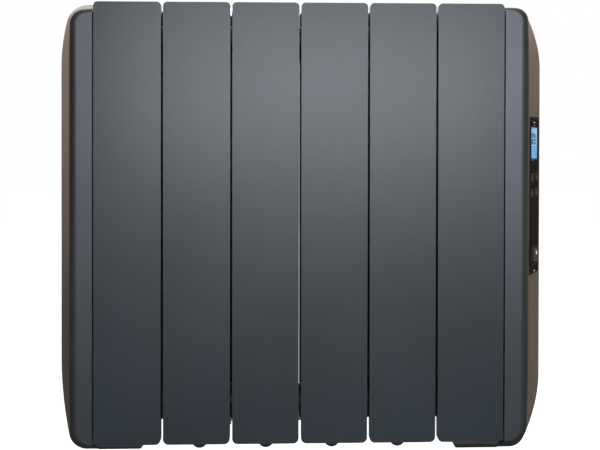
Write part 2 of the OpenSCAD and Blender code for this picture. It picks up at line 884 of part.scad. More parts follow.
module switch_rocker() {
    pin_reach = switch_body_h / 2 - 0.2;
    color([0.10, 0.11, 0.11]) at_switch() translate([0, pivot_y, 0])
        rotate([0, 0, -rocker_tilt]) {
            translate([0, 0, -rocker_h / 2]) linear_extrude(height = rocker_h)
                polygon([
                    [-rocker_half, -rocker_end], [0, -rocker_valley], [rocker_half, -rocker_end],
                    [rocker_half - rocker_draft, -rocker_edge], [rocker_foot, rocker_back],
                    [-rocker_foot, rocker_back], [-rocker_half + rocker_draft, -rocker_edge]
                ]);
            translate([0, 0, -pin_reach]) cylinder(r = pivot_r, h = 2 * pin_reach, $fn = small_fn);
        }
}

tab_pitch = 7;
tab_w = 6.3;
tab_t = 0.8;
tab_l = 8;

module switch_tabs() {
    color([0.75, 0.66, 0.40]) at_switch()
        for (x = [-1, 1])
            translate([x * tab_pitch - tab_t / 2, switch_depth, -tab_w / 2])
                cube([tab_t, tab_l, tab_w]);
}

// Power board on stand-offs from the right chassis
standoff_l = 8;
standoff_r = 3;
power_w = 50;
power_h = 100;
power_t = 1.6;
power_up = 85;
board_clear = 3.7;
power_d = element_depth - cap_screw_l - board_clear - power_w;
power_z = plate_z + power_up;
power_out = chassis_t - seam + standoff_l;
part_out = power_out + power_t;
hole_edge = 6;

// Places on the board [along the depth, up] and sizes [out, depth, up]
relay_at = [6, 14];
relay_size = [15, 12, 28];
capacitor_at = [22, 14];
capacitor_size = [13, 9, 26];
sink_at = [24, 52];
sink_l = 22;
sink_h = 30;
sink_t = 2;
sink_fin_l = 10;
sink_fins = 5;
triac_size = [15, 4.5, 10];
triac_up = 8;
block_at = [37, 4];
block_size = [14, 11, 34];
block_pitch = 10.5;
block_hole_r = 2.2;
block_hole_l = 6;

module board_standoffs() {
    color([0.8, 0.78, 0.7]) at_right_end()
        for (y = [hole_edge, power_w - hole_edge])
            for (z = [hole_edge, power_h - hole_edge])
                translate([chassis_t - seam, power_d + y, power_z + z]) rotate([0, 90, 0])
                    cylinder(r = standoff_r, h = standoff_l, $fn = small_fn);
}

module power_board() {
    color([0.45, 0.33, 0.16]) at_right_end()
        translate([power_out, power_d, power_z]) cube([power_t, power_w, power_h]);
}

module on_power_board(at) {
    at_right_end() translate([part_out, power_d + at[0], power_z + at[1]]) children();
}

module relay() {
    color([0.15, 0.35, 0.6]) on_power_board(relay_at) cube(relay_size);
}

module filter_capacitor() {
    color([0.75, 0.68, 0.2]) on_power_board(capacitor_at) cube(capacitor_size);
}

module heat_sink() {
    step = (sink_h - sink_t) / (sink_fins - 1);
    color([0.7, 0.71, 0.72]) on_power_board(sink_at) {
        cube([sink_l, sink_t, sink_h]);
        for (i = [0 : sink_fins - 1])
            translate([0, sink_t, i * step]) cube([sink_l, sink_fin_l, sink_t]);
    }
}

module triac() {
    color([0.1, 0.1, 0.1]) on_power_board(sink_at)
        translate([sink_t, -thread_fit - triac_size[1], triac_up]) cube(triac_size);
}

module terminal_block() {
    color([0.82, 0.82, 0.78]) on_power_board(block_at) difference() {
        cube(block_size);
        for (i = [-1 : 1])
            translate([block_size[0] / 2 + 1, block_size[1] + overlap,
                       block_size[2] / 2 + i * block_pitch])
                rotate([90, 0, 0])
                    cylinder(r = block_hole_r, h = block_hole_l + overlap, $fn = small_fn);
    }
}

// Safety thermostat on the chassis, held by a strap and two screws
stat_r = 8;
stat_h = 9;
stat_down = 85;
stat_in = 26;
stat_z = top_z - stat_down;
stat_d = element_depth - stat_in;
stat_strap_l = 32;
stat_strap_w = 10;
stat_strap_t = 1;
stat_screw_out = 12;
stat_screw_r = 2.8;
stat_screw_h = 2;

module safety_thermostat() {
    color([0.85, 0.84, 0.80]) at_right_end()
        translate([chassis_t - seam, stat_d, stat_z]) rotate([0, 90, 0]) {
            cylinder(r = stat_r, h = stat_h, $fn = small_fn);
            translate([-stat_strap_l / 2, -stat_strap_w / 2, 0])
                cube([stat_strap_l, stat_strap_w, stat_strap_t]);
        }
}

module thermostat_screws() {
    color([0.7, 0.7, 0.7]) at_right_end()
        for (side = [-1, 1])
            translate([chassis_t - seam + stat_strap_t, stat_d, stat_z + side * stat_screw_out])
                rotate([0, 90, 0]) cylinder(r = stat_screw_r, h = stat_screw_h, $fn = small_fn);
}

// Room sensor bead on its clip, low in the right cap
clip_size = [6, 8, 6];
clip_clear = 7.7;
clip_up = 16;
sensor_stem_r = 1;
sensor_stem_l = 8;
sensor_r = 2.2;

module room_sensor() {
    color([0.1, 0.1, 0.12]) at_right_end()
        translate([chassis_t - seam, chassis_rear - chassis_t - clip_clear - clip_size[1],
                   foot_h + clip_up]) {
            cube(clip_size);
            translate([clip_size[0], clip_size[1] / 2, clip_size[2] / 2]) rotate([0, 90, 0]) {
                cylinder(r = sensor_stem_r, h = sensor_stem_l, $fn = small_fn);
                translate([0, 0, sensor_stem_l + sensor_r / 2]) sphere(r = sensor_r, $fn = small_fn);
            }
        }
}

// Bush for the supply cable in the right cap's rear wall
bush_flange_r = 9;
bush_flange_t = 2;
bush_nut_t = 3;

module cable_bush() {
    color([0.08, 0.08, 0.09]) at_right_end()
        translate([bush_out, element_depth + bush_flange_t, bush_z]) rotate([90, 0, 0])
            difference() {
                union() {
                    cylinder(r = bush_flange_r, h = bush_flange_t, $fn = small_fn);
                    cylinder(r = bush_neck_r, $fn = small_fn,
                             h = bush_flange_t + cap_wall + bush_nut_t);
                    translate([0, 0, bush_flange_t + cap_wall])
                        cylinder(r = bush_flange_r, h = bush_nut_t, $fn = 6);
                }
                translate([0, 0, -overlap])
                    cylinder(r = bush_bore_r, $fn = small_fn,
                             h = bush_flange_t + cap_wall + bush_nut_t + 2 * overlap);
            }
}

// Insulated wires inside the right cap, swept along hand-chosen points
wire_r = 1.1;
wire_sides = 8;

function unit(v) = v / norm(v);

function wire_ring(path, i) =
    let (
        before = path[max(i - 1, 0)],
        after = path[min(i + 1, len(path) - 1)],
        dir = unit(after - before),
        side = unit(cross(dir, abs(dir[2]) > 0.9 ? [1, 0, 0] : [0, 0, 1])),
        up = cross(side, dir)
    )
    [for (k = [0 : wire_sides - 1])
        let (a = 360 * k / wire_sides)
        path[i] + wire_r * (cos(a) * side + sin(a) * up)];

module wire(path) {
    loft([for (i = [0 : len(path) - 1]) reversed(wire_ring(path, i))]);
}

// Place of a switch tab's tip, seen from the block's right end
function tab_tip(x, y) = [
    panel_mid_out + (x - switch_shift) * sin(right_flare) - y * cos(right_flare),
    panel_mid_d + (x - switch_shift) * cos(right_flare) + y * sin(right_flare),
    panel_z - switch_down
];

// Turns and leads of the wires
wire_lead = 3;
wire_bend = 2;
wire_turn = 6;
wire_climb = 22;
wire_drop = 14;
wire_pad_in = 11;

module internal_wiring() {
    leg_out = head_hex_h + head_flange_t + gasket_t / 2 + terminal_l;
    relay_mid = power_d + relay_at[0] + relay_size[1] / 2;
    block_mid = power_d + block_at[0] + block_size[1] / 2;
    wire_out = part_out + block_size[0] / 2;
    tab_y = switch_depth + tab_l;
    power_top = power_z + power_h;
    color([0.6, 0.12, 0.1]) at_right_end() {
        wire([
            [leg_out, duct_d - hairpin_r, hub_low_z],
            [leg_out + wire_lead, duct_d - hairpin_r, hub_low_z],
            [leg_out + wire_lead + wire_bend, duct_d - hairpin_r - wire_bend / 2, hub_low_z + wire_turn],
            [leg_out + wire_lead, relay_mid + wire_bend, hub_low_z + wire_climb],
            [wire_out, relay_mid, power_z + relay_at[1] - wire_turn - wire_lead],
            [wire_out, relay_mid, power_z + relay_at[1]]
        ]);
        wire([
            [leg_out, duct_d + hairpin_r, hub_low_z],
            [leg_out + wire_lead, duct_d + hairpin_r, hub_low_z],
            [leg_out + wire_lead + wire_bend, duct_d + hairpin_r + wire_bend, hub_low_z + wire_turn],
            [leg_out + wire_lead, block_mid - wire_turn, hub_low_z + wire_climb - wire_bend],
            [wire_out, block_mid, power_z + block_at[1] - wire_turn - wire_lead],
            [wire_out, block_mid, power_z + block_at[1]]
        ]);
        wire([
            tab_tip(-tab_pitch, tab_y),
            tab_tip(-tab_pitch, tab_y + wire_lead),
            [wire_out - wire_turn - wire_bend, relay_mid, power_top + 2 * wire_drop],
            [wire_out - wire_turn, relay_mid - wire_bend, power_top + wire_drop],
            [wire_out, relay_mid - 2 * wire_bend, power_top - wire_bend],
            [part_out + wire_lead, relay_mid - 2 * wire_bend, power_top - wire_pad_in],
            [part_out, relay_mid - 2 * wire_bend, power_top - wire_pad_in]
        ]);
        wire([
            tab_tip(tab_pitch, tab_y),
            tab_tip(tab_pitch, tab_y + wire_lead),
            [wire_out - wire_bend, relay_mid + wire_drop, power_top + 2 * wire_drop],
            [wire_out + wire_bend / 2, block_mid - wire_pad_in, power_top + wire_drop],
            [wire_out, block_mid - wire_turn, power_top - wire_bend],
            [part_out + wire_lead, block_mid - wire_turn, power_top - wire_pad_in],
            [part_out, block_mid - wire_turn, power_top - wire_pad_in]
        ]);
    }
}

// Wall frame: two upright straps with hooks and rests, and two crossbars
frame_x = -element_pitch / 2;
hook_rise = 3.5;
hook_tab = 9;
rest_tab = 2.5;
hook_clear = 1.5;
hook_d = element_depth - plate_t - frame_t - hook_clear;
sleeve_t = 1;
sleeve_in = 1;
sleeve_past = 4;
frame_back = element_depth + wall_gap;
frame_drop = 9.5;
frame_low = plate_z - frame_drop;
bar_h = 16;
bar_down = 60;

module at_straps() {
    for (side = [-1, 1])
        in_block() translate([frame_x + side * strap_pitch / 2 - strap_w / 2, 0, 0]) children();
}

function strap_hole_heights() =
    [(plate_z + top_z - screw_pitch_z) / 2, (plate_z + top_z + screw_pitch_z) / 2];

module frame_uprights() {
    reach = frame_back - hook_d;
    tab_top = top_z + hook_rise;
    rest_z = plate_z - sleeve_t - frame_t;
    color([0.58, 0.60, 0.62]) at_straps() difference() {
        union() {
            translate([0, frame_back - frame_t, frame_low])
                cube([strap_w, frame_t, tab_top + frame_t - frame_low]);
            translate([0, hook_d, tab_top]) cube([strap_w, reach, frame_t]);
            translate([0, hook_d, tab_top - hook_tab])
                cube([strap_w, frame_t, hook_tab + frame_t]);
            translate([0, hook_d, rest_z]) cube([strap_w, reach, frame_t]);
            translate([0, hook_d, rest_z]) cube([strap_w, frame_t, frame_t + sleeve_t + rest_tab]);
        }
        for (z = strap_hole_heights())
            translate([strap_w / 2, frame_back + overlap, z]) rotate([90, 0, 0])
                cylinder(r = wall_hole_r, h = frame_t + 2 * overlap, $fn = small_fn);
    }
}

module frame_crossbars() {
    bar_w = strap_pitch - strap_w;
    color([0.58, 0.60, 0.62]) in_block()
        for (z = [frame_low, top_z - bar_down])
            translate([frame_x - bar_w / 2, frame_back - frame_t, z])
                cube([bar_w, frame_t, bar_h]);
}

// Plastic sleeves that seat the profile's rear plates on the rests
module frame_sleeves() {
    color([0.85, 0.85, 0.83]) at_straps()
        translate([sleeve_in, hook_d + frame_t, plate_z - sleeve_t])
            cube([strap_w - 2 * sleeve_in, element_depth + sleeve_past - frame_t - hook_d, sleeve_t]);
}

element(1);  // element_1
element(2);  // element_2
element(3);  // element_3
element(4);  // element_4
element(5);  // element_5
element(6);  // element_6
duct_bottom_plugs();
duct_top_plugs();
hub_nipples();
hub_gaskets();
blank_plugs();
end_gaskets();
immersion_heater();
heater_flange();
heater_terminals();
left_chassis();
right_chassis();
left_end_cap();
right_end_cap();
cap_screws();
panel_fascia();
display_window();
lcd_module();
indicator_lens();
control_housing();
control_board();
tact_switches();
key_front_upper();
key_rear_upper();
key_front_lower();
key_rear_lower();
switch_housing();
switch_rocker();
switch_tabs();
power_board();
board_standoffs();
relay();
filter_capacitor();
triac();
heat_sink();
terminal_block();
safety_thermostat();
thermostat_screws();
room_sensor();
cable_bush();
internal_wiring();
frame_uprights();
frame_crossbars();
frame_sleeves();
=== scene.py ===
import math
from collections import namedtuple

import bmesh
import bpy
from mathutils import Matrix, Vector


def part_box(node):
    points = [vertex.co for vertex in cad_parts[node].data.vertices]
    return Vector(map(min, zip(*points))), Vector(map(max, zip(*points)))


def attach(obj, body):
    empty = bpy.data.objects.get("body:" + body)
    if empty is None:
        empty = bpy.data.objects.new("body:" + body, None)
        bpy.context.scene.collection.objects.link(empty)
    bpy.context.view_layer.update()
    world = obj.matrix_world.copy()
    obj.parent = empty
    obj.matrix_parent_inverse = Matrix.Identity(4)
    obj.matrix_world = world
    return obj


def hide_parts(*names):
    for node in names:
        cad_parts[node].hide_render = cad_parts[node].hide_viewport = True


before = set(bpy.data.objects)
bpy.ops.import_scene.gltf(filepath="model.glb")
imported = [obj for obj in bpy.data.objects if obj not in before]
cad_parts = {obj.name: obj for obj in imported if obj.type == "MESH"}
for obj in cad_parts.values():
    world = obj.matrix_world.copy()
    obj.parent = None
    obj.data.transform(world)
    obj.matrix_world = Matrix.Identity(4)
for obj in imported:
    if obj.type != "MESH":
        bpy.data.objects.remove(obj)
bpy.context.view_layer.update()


# Camera: it stands about 0.9 m before the front plates, level with the display, and
# looks a little to the right. Its frame is shifted down, so that the uprights stay
# parallel.
photo_w = 600
focal_px = 777.1
horizon_up_px = 93.5
camera = bpy.data.objects.new("photo_camera", bpy.data.cameras.new("photo_camera"))
camera.data.sensor_width = 36
camera.data.lens = focal_px / photo_w * camera.data.sensor_width
camera.data.shift_y = -horizon_up_px / photo_w
camera.location = (-0.0317, -0.9510, 0.3959)
camera.rotation_euler = (math.radians(90 - 0.415), math.radians(-0.102), math.radians(-1.72))
bpy.context.scene.collection.objects.link(camera)
bpy.context.scene.camera = camera


# Heating elements: six aluminium extrusions with a flat front and rear plate, fins
# between them and a fluid duct up the middle. They are cut to length, their plates'
# corners are rounded, and they are powder-coated in satin anthracite as one block.
element_count = 6
plate_ease = 0.0005
low_corner_from, low_corner_to = 0.005, 0.0064
front_crown = 0.0003

def paint(red, green, blue):
    """Linear colour of a paint-card reading from 0 to 255."""
    def channel(value):
        value = value / 255
        return value / 12.92 if value <= 0.04045 else ((value + 0.055) / 1.055) ** 2.4
    return (channel(red), channel(green), channel(blue), 1)


def finish(name, dark, light, rough, grain, relief, metal=0, blotch=30, stretch=(1, 1, 1), **gloss):
    """Surface that drifts from dark to light, with uneven roughness and a fine relief.

    grain is in cells per metre, relief in metres, and gloss names the shader's own sockets.
    """
    material = bpy.data.materials.new(name)
    material.use_nodes = True
    nodes = material.node_tree.nodes
    link = material.node_tree.links.new
    shader = nodes["Principled BSDF"]
    shader.inputs["Metallic"].default_value = metal
    for socket, value in gloss.items():
        shader.inputs[socket.replace("_", " ")].default_value = value
    place = nodes.new("ShaderNodeTexCoord")
    scale = nodes.new("ShaderNodeMapping")
    scale.inputs["Scale"].default_value = stretch
    link(place.outputs["Object"], scale.inputs["Vector"])
    cloud = nodes.new("ShaderNodeTexNoise")
    cloud.inputs["Scale"].default_value = blotch
    cloud.inputs["Detail"].default_value = 4
    link(scale.outputs["Vector"], cloud.inputs["Vector"])
    tint = nodes.new("ShaderNodeValToRGB")
    tint.color_ramp.elements[0].position = 0.35
    tint.color_ramp.elements[0].color = dark
    tint.color_ramp.elements[1].position = 0.65
    tint.color_ramp.elements[1].color = light
    link(cloud.outputs["Fac"], tint.inputs["Fac"])
    link(tint.outputs["Color"], shader.inputs["Base Color"])
    fine = nodes.new("ShaderNodeTexNoise")
    fine.inputs["Scale"].default_value = grain
    fine.inputs["Detail"].default_value = 2
    link(scale.outputs["Vector"], fine.inputs["Vector"])
    dull = nodes.new("ShaderNodeMapRange")
    dull.inputs["From Min"].default_value = 0.3
    dull.inputs["From Max"].default_value = 0.7
    dull.inputs["To Min"].default_value = rough[0]
    dull.inputs["To Max"].default_value = rough[1]
    link(fine.outputs["Fac"], dull.inputs["Value"])
    link(dull.outputs["Result"], shader.inputs["Roughness"])
    bump = nodes.new("ShaderNodeBump")
    bump.inputs["Distance"].default_value = relief
    link(fine.outputs["Fac"], bump.inputs["Height"])
    link(bump.outputs["Normal"], shader.inputs["Normal"])
    return material


def whole_solid(node):
    """Copy of a CAD node's mesh with its loose triangles merged and its flats made whole."""
    work = bmesh.new()
    work.from_mesh(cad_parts[node].data)
    bmesh.ops.remove_doubles(work, verts=work.verts, dist=1e-6)
    bmesh.ops.dissolve_limit(work, angle_limit=math.radians(0.4), verts=work.verts, edges=work.edges)
    return work


def ease_edges(work, width, picked=None, steepest=50, segments=2):
    """Rounds the steep outer edges that picked accepts."""
    edges = [e for e in work.edges if len(e.link_faces) == 2 and e.is_convex
             and e.calc_face_angle(0) > math.radians(steepest) and (picked is None or picked(e))]
    bmesh.ops.bevel(work, geom=edges, offset=width, offset_type="OFFSET", segments=segments,
                    profile=0.5, affect="EDGES", clamp_overlap=True)


def shaded(work, name, crease=32):
    """Mesh with smooth curves and crisp creases, its flats kept flat by weighted normals."""
    for face in work.faces:
        face.smooth = True
    for edge in work.edges:
        edge.smooth = not (len(edge.link_faces) == 2 and edge.calc_face_angle(0) > math.radians(crease))
    mesh = bpy.data.meshes.new(name)
    work.to_mesh(mesh)
    work.free()
    for layer in [a.name for a in mesh.attributes if a.name == "custom_normal"]:
        mesh.attributes.remove(mesh.attributes[layer])
    draft = bpy.data.objects.new(name, mesh)
    bpy.context.scene.collection.objects.link(draft)
    weigh = draft.modifiers.new("flats", "WEIGHTED_NORMAL")
    weigh.keep_sharp = True
    baked = settled(draft)
    bpy.data.objects.remove(draft)
    return baked


def settled(thing):
    """Plain mesh of an object as its modifiers leave it."""
    view = bpy.context.evaluated_depsgraph_get()
    mesh = bpy.data.meshes.new_from_object(thing.evaluated_get(view), depsgraph=view)
    mesh.name = thing.name
    return mesh


def fitted(name, mesh, material, body, slot, *nodes):
    """Finished piece at the origin that rides on a body and stands for CAD nodes."""
    mesh.materials.clear()
    mesh.materials.append(material)
    piece = bpy.data.objects.new(name, mesh)
    bpy.context.scene.collection.objects.link(piece)
    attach(piece, body)
    if nodes:
        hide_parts(*nodes)
    return piece


powder_coat = finish("powder_coat", paint(26, 32, 35), paint(30, 36, 39), (0.34, 0.40), 900, 0.00003,
                     blotch=8, Specular_IOR_Level=0.22)
plate_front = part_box("element_1")[0].y
plate_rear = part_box("element_1")[1].y
element_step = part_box("element_2")[0].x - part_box("element_1")[0].x

def on_a_plate_face(edge):
    depths = [v.co.y for v in edge.verts]
    return max(abs(y - plate_front) for y in depths) < 1e-5 or max(abs(y - plate_rear) for y in depths) < 1e-5


def widen_low_corners(work, low, high):
    """Turns the lower corners' arcs into larger ones that start in the same corner."""
    for edge_x in (low.x, high.x):
        for v in work.verts:
            if abs(v.co.x - edge_x) < low_corner_from + 1e-6 and v.co.z - low.z < low_corner_from + 1e-6:
                v.co.x = edge_x + (v.co.x - edge_x) * low_corner_to / low_corner_from
                v.co.z = low.z + (v.co.z - low.z) * low_corner_to / low_corner_from


def crown_front(work, low, high, strips=10):
    """Cuts the front face into upright strips and bows them forward, most in the middle."""
    for k in range(1, strips):
        face = max((f for f in work.faces if abs(f.calc_center_median().y - plate_front) < 1e-6),
                   key=lambda f: f.calc_center_median().x)
        cut_x = low.x + (high.x - low.x) * k / strips
        bmesh.ops.bisect_plane(work, geom=[face, *face.edges, *face.verts],
                               plane_co=(cut_x, 0, 0), plane_no=(1, 0, 0))
    for v in work.verts:
        if abs(v.co.y - plate_front) < 1e-6:
            across = 2 * (v.co.x - low.x) / (high.x - low.x) - 1
            v.co.y -= front_crown * (1 - across * across)


extrusion = whole_solid("element_1")
widen_low_corners(extrusion, *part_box("element_1"))
ease_edges(extrusion, plate_ease, on_a_plate_face, segments=3)
crown_front(extrusion, *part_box("element_1"))
extrusion = shaded(extrusion, "painted_element")
for n in range(element_count):
    profile = extrusion.copy()
    profile.transform(Matrix.Translation((n * element_step, 0, 0)))
    fitted(f"painted_element_{n + 1}", profile, powder_coat, "radiator", "enamel", f"element_{n + 1}")


# Duct plugs: turned aluminium plugs pressed into both ends of each duct. The lower ones
# are domed and painted with the block, the upper ones stay bare.
dome_r = 0.010
plug_flange_r = 0.013
plug_flange_t = 0.002
plug_neck_r = 0.0094
plug_neck_l = 0.010
plug_ease = 0.0004
outer_drop = 0.013
plug_low, plug_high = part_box("duct_bottom_plugs")

def row_tree():
    """Nodes that set out copies of a piece in a row of rows and give them their material."""
    tree = bpy.data.node_groups.new("set_out_in_rows", "GeometryNodeTree")
    face = tree.interface
    face.new_socket("Geometry", in_out="INPUT", socket_type="NodeSocketGeometry")
    for name, kind in (("Count", "NodeSocketInt"), ("Step", "NodeSocketVector"),
                       ("Rows", "NodeSocketInt"), ("Row Step", "NodeSocketVector"),
                       ("Finish", "NodeSocketMaterial")):
        face.new_socket(name, in_out="INPUT", socket_type=kind)
    face.new_socket("Geometry", in_out="OUTPUT", socket_type="NodeSocketGeometry")
    add = tree.nodes.new
    link = tree.links.new
    given = add("NodeGroupInput")
    along = add("GeometryNodeMeshLine")
    across = add("GeometryNodeMeshLine")
    link(given.outputs["Count"], along.inputs["Count"])
    link(given.outputs["Step"], along.inputs["Offset"])
    link(given.outputs["Rows"], across.inputs["Count"])
    link(given.outputs["Row Step"], across.inputs["Offset"])
    grid = add("GeometryNodeInstanceOnPoints")
    link(across.outputs["Mesh"], grid.inputs["Points"])
    link(along.outputs["Mesh"], grid.inputs["Instance"])
    points = add("GeometryNodeRealizeInstances")
    link(grid.outputs["Instances"], points.inputs["Geometry"])
    copies = add("GeometryNodeInstanceOnPoints")
    link(points.outputs["Geometry"], copies.inputs["Points"])
    link(given.outputs["Geometry"], copies.inputs["Instance"])
    real = add("GeometryNodeRealizeInstances")
    link(copies.outputs["Instances"], real.inputs["Geometry"])
    coat = add("GeometryNodeSetMaterial")
    link(real.outputs["Geometry"], coat.inputs["Geometry"])
    link(given.outputs["Finish"], coat.inputs["Material"])
    link(coat.outputs["Geometry"], add("NodeGroupOutput").inputs["Geometry"])
    return tree


set_out_in_rows = row_tree()

def set_out(name, mesh, material, count, step, rows=1, row_step=(0, 0, 0)):
    """Plain mesh of copies in rows, made by the row nodes."""
    draft = bpy.data.objects.new(name, mesh)
    bpy.context.scene.collection.objects.link(draft)
    nodes = draft.modifiers.new("rows", "NODES")
    nodes.node_group = set_out_in_rows
    sizes = {"Count": count, "Step": step, "Rows": rows, "Row Step": row_step, "Finish": material}
    for socket in set_out_in_rows.interface.items_tree:
        if socket.in_out == "INPUT" and socket.name in sizes:
            nodes[socket.identifier] = sizes[socket.name]
    copies = settled(draft)
    bpy.data.objects.remove(draft)
    return copies


def turned(outline, name, steps=64, crease=32):
    """Mesh turned about Z from an outline of (radius, height) that starts and ends on the axis."""
    work = bmesh.new()
    rings = []
    for radius, height in outline:
        if radius < 1e-7:
            rings.append([work.verts.new((0, 0, height))])
        else:
            angles = [2 * math.pi * k / steps for k in range(steps)]
            rings.append([work.verts.new((radius * math.cos(a), radius * math.sin(a), height)) for a in angles])
    for low, high in zip(rings, rings[1:]):
        for k in range(steps):
            corners = [low[k % len(low)], low[(k + 1) % len(low)],
                       high[(k + 1) % len(high)], high[k % len(high)]]
            work.faces.new(list(dict.fromkeys(corners)))
    bmesh.ops.recalc_face_normals(work, faces=work.faces)
    return shaded(work, name, crease)


def rounded(corner_r, corner_z, ease, first, last, steps=4):
    """Points round an outline's corner, from one angle to another in degrees."""
    angles = [math.radians(first + (last - first) * k / steps) for k in range(steps + 1)]
    return [(corner_r + ease * math.cos(a), corner_z + ease * math.sin(a)) for a in angles]


flange_low = plug_high.z - plug_neck_l - plug_flange_t
duct_y = (plug_low.y + plug_high.y) / 2

def plug_shape(name, lowest, column):
    """Lower plug of a column, its dome reaching down to the lowest height."""
    outline = (
        [(0, lowest)] + rounded(0, lowest + dome_r, dome_r, -84, 0, 14)
        + [(dome_r, flange_low)]
        + rounded(plug_flange_r - plug_ease, flange_low + plug_ease, plug_ease, -90, 0)
        + [(plug_flange_r, flange_low + plug_flange_t), (plug_neck_r, flange_low + plug_flange_t),
           (plug_neck_r, plug_high.z), (0, plug_high.z)])
    plug = turned(outline, name)
    plug.transform(Matrix.Translation((plug_low.x + plug_flange_r + column * element_step, duct_y, 0)))
    return plug


inner = set_out("domed_plugs", plug_shape("domed_plug", plug_low.z, 1), powder_coat,
                element_count - 2, (element_step, 0, 0))
fitted("domed_plugs", inner, powder_coat, "radiator", "plug_enamel", "duct_bottom_plugs")
outer_low = flange_low + plug_flange_t - outer_drop
outer = set_out("outer_plugs", plug_shape("outer_plug", outer_low, 0), powder_coat,
                2, ((element_count - 1) * element_step, 0, 0))
fitted("outer_plugs", outer, powder_coat, "radiator", "plug_enamel", "duct_bottom_plugs")


# End caps: two moulded shells in matt anthracite plastic. Each has a flat front, a
# flared side with a large turn, full rounded corners and a foot that reaches under the
# outer element. They hang on the end chassis and are screwed from the rear.
cap_wall = 0.0025
cap_depth = plate_rear - plate_front
flare_depth = 0.0517
shoulder_r = 0.016
rear_edge_r = 0.004
foot_front = 0.024
foot_rear_in = 0.002
foot_reach = 0.0590
foot_slant = 0.012
foot_floor = 0.0015
foot_gap = 0.001
foot_ease = 0.0012
overrun = 0.001
plate_low, plate_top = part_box("element_1")[0].z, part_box("element_1")[1].z
cap_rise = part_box("right_end_cap")[1].z - plate_top
cap_drop = plate_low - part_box("left_end_cap")[0].z
hub_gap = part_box("element_2")[0].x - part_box("element_1")[1].x
left_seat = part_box("element_1")[0].x - hub_gap / 2
right_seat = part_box("element_6")[1].x + hub_gap / 2
seam = 0.0004
cap_crease = 24

# A corner's radius at the flat front and at full size, and how far and how long its side draws in
Corner = namedtuple("Corner", "front_r full_r sweep length")
# Width of the flat front, radius of the turn beside it, flare, climb of the top edge to the block, drop of
# the flat front's top, corners, depth of the lowest underside, and how far the foot stands off that
CapForm = namedtuple("CapForm", "flat edge_r flare crown top_in upper lower lowest_at foot_up")

def cap_width(flat, edge_r, flare):
    edge_in = edge_r * (1 - math.sin(flare))
    return flat + edge_r * math.cos(flare) + (flare_depth - edge_in) * math.tan(flare)


def side_path(flat, edge_r, flare, inset, arc_steps=12, turn_steps=10, rear_steps=5):
    """Points (out, depth) down a cap's side, from its flat front round to its rear edge."""
    width = cap_width(flat, edge_r, flare)
    path = []
    for k in range(arc_steps + 1):
        a = (math.pi / 2 - flare) * k / arc_steps
        r = edge_r - inset
        path.append((flat + r * math.sin(a), edge_r - r * math.cos(a)))
    for k in range(turn_steps + 1):
        a = flare * (1 - k / turn_steps)
        r = shoulder_r - inset
        path.append((width - shoulder_r + r * math.cos(a),
                     flare_depth + shoulder_r * math.tan(flare / 2) - r * math.sin(a)))
    for k in range(rear_steps + 1):
        a = math.pi / 2 * k / rear_steps
        r = rear_edge_r - inset
        path.append((width - rear_edge_r + r * math.cos(a), cap_depth - rear_edge_r + r * math.sin(a)))
    return path


def half_ring(out, grow, corner, inset, end_z, toward, corner_steps=16, sweep_steps=18):
    """Points (out, z) over a corner and along the drawn-in side. The flat front isn't drawn in."""
    r = corner.front_r + grow * (corner.full_r - corner.front_r) - inset
    draw = corner.sweep * grow * grow
    lean = math.atan(2 * draw / corner.length)
    arc_out = out - draw - r * math.cos(lean)
    arc_z = end_z + toward * (inset + r)
    sweep_z = arc_z - toward * r * math.sin(lean)
    ring = []
    for k in range(corner_steps + 1):
        a = math.pi / 2 - (math.pi / 2 - lean) * k / corner_steps
        ring.append((arc_out + r * math.cos(a), arc_z - toward * r * math.sin(a)))
    for k in range(1, sweep_steps + 1):
        t = k / sweep_steps
        ring.append((out - draw * (1 - t) ** 2, sweep_z + toward * t * corner.length))
    return ring


def underside(depth, lowest_at):
    return plate_low - cap_drop * min(1, depth / lowest_at)


def cap_solid(form, inset, mouth):
    """Solid of a cap's outside, or of its hollow when inset is the wall."""
    work = bmesh.new()
    rings = []
    side = form.flat, form.edge_r, form.flare
    width = cap_width(*side)
    for (out, depth), (full_out, _) in zip(side_path(*side, inset), side_path(*side, 0)):
        grow = (full_out - form.flat) / (width - form.flat)
        z_top = plate_top - form.top_in + grow * (form.top_in + cap_rise)
        z_low = underside(depth, form.lowest_at)
        upper = half_ring(out, grow, form.upper, inset, z_top, -1)
        lower = half_ring(out, grow, form.lower, inset, z_low, 1)
        outline = [(mouth, z_top + form.crown - inset)] + upper + lower[::-1] + [(mouth, z_low + inset)]
        rings.append([work.verts.new((x, plate_front + depth, z)) for x, z in outline])
    count = len(rings[0])
    for near, far in zip(rings, rings[1:]):
        for k in range(count):
            work.faces.new((near[k], near[(k + 1) % count], far[(k + 1) % count], far[k]))
    work.faces.new(rings[0][::-1])
    work.faces.new(rings[-1])
    bmesh.ops.recalc_face_normals(work, faces=work.faces)
    return work


def block(low, high, ease=0.0):
    """Block between two corners, its edges rounded."""
    work = bmesh.new()
    bmesh.ops.create_cube(work, size=1)
    size = Vector(high) - Vector(low)
    middle = (Vector(high) + Vector(low)) / 2
    bmesh.ops.scale(work, vec=size, verts=work.verts)
    bmesh.ops.translate(work, vec=middle, verts=work.verts)
    if ease:
        ease_edges(work, ease, segments=3)
    return work


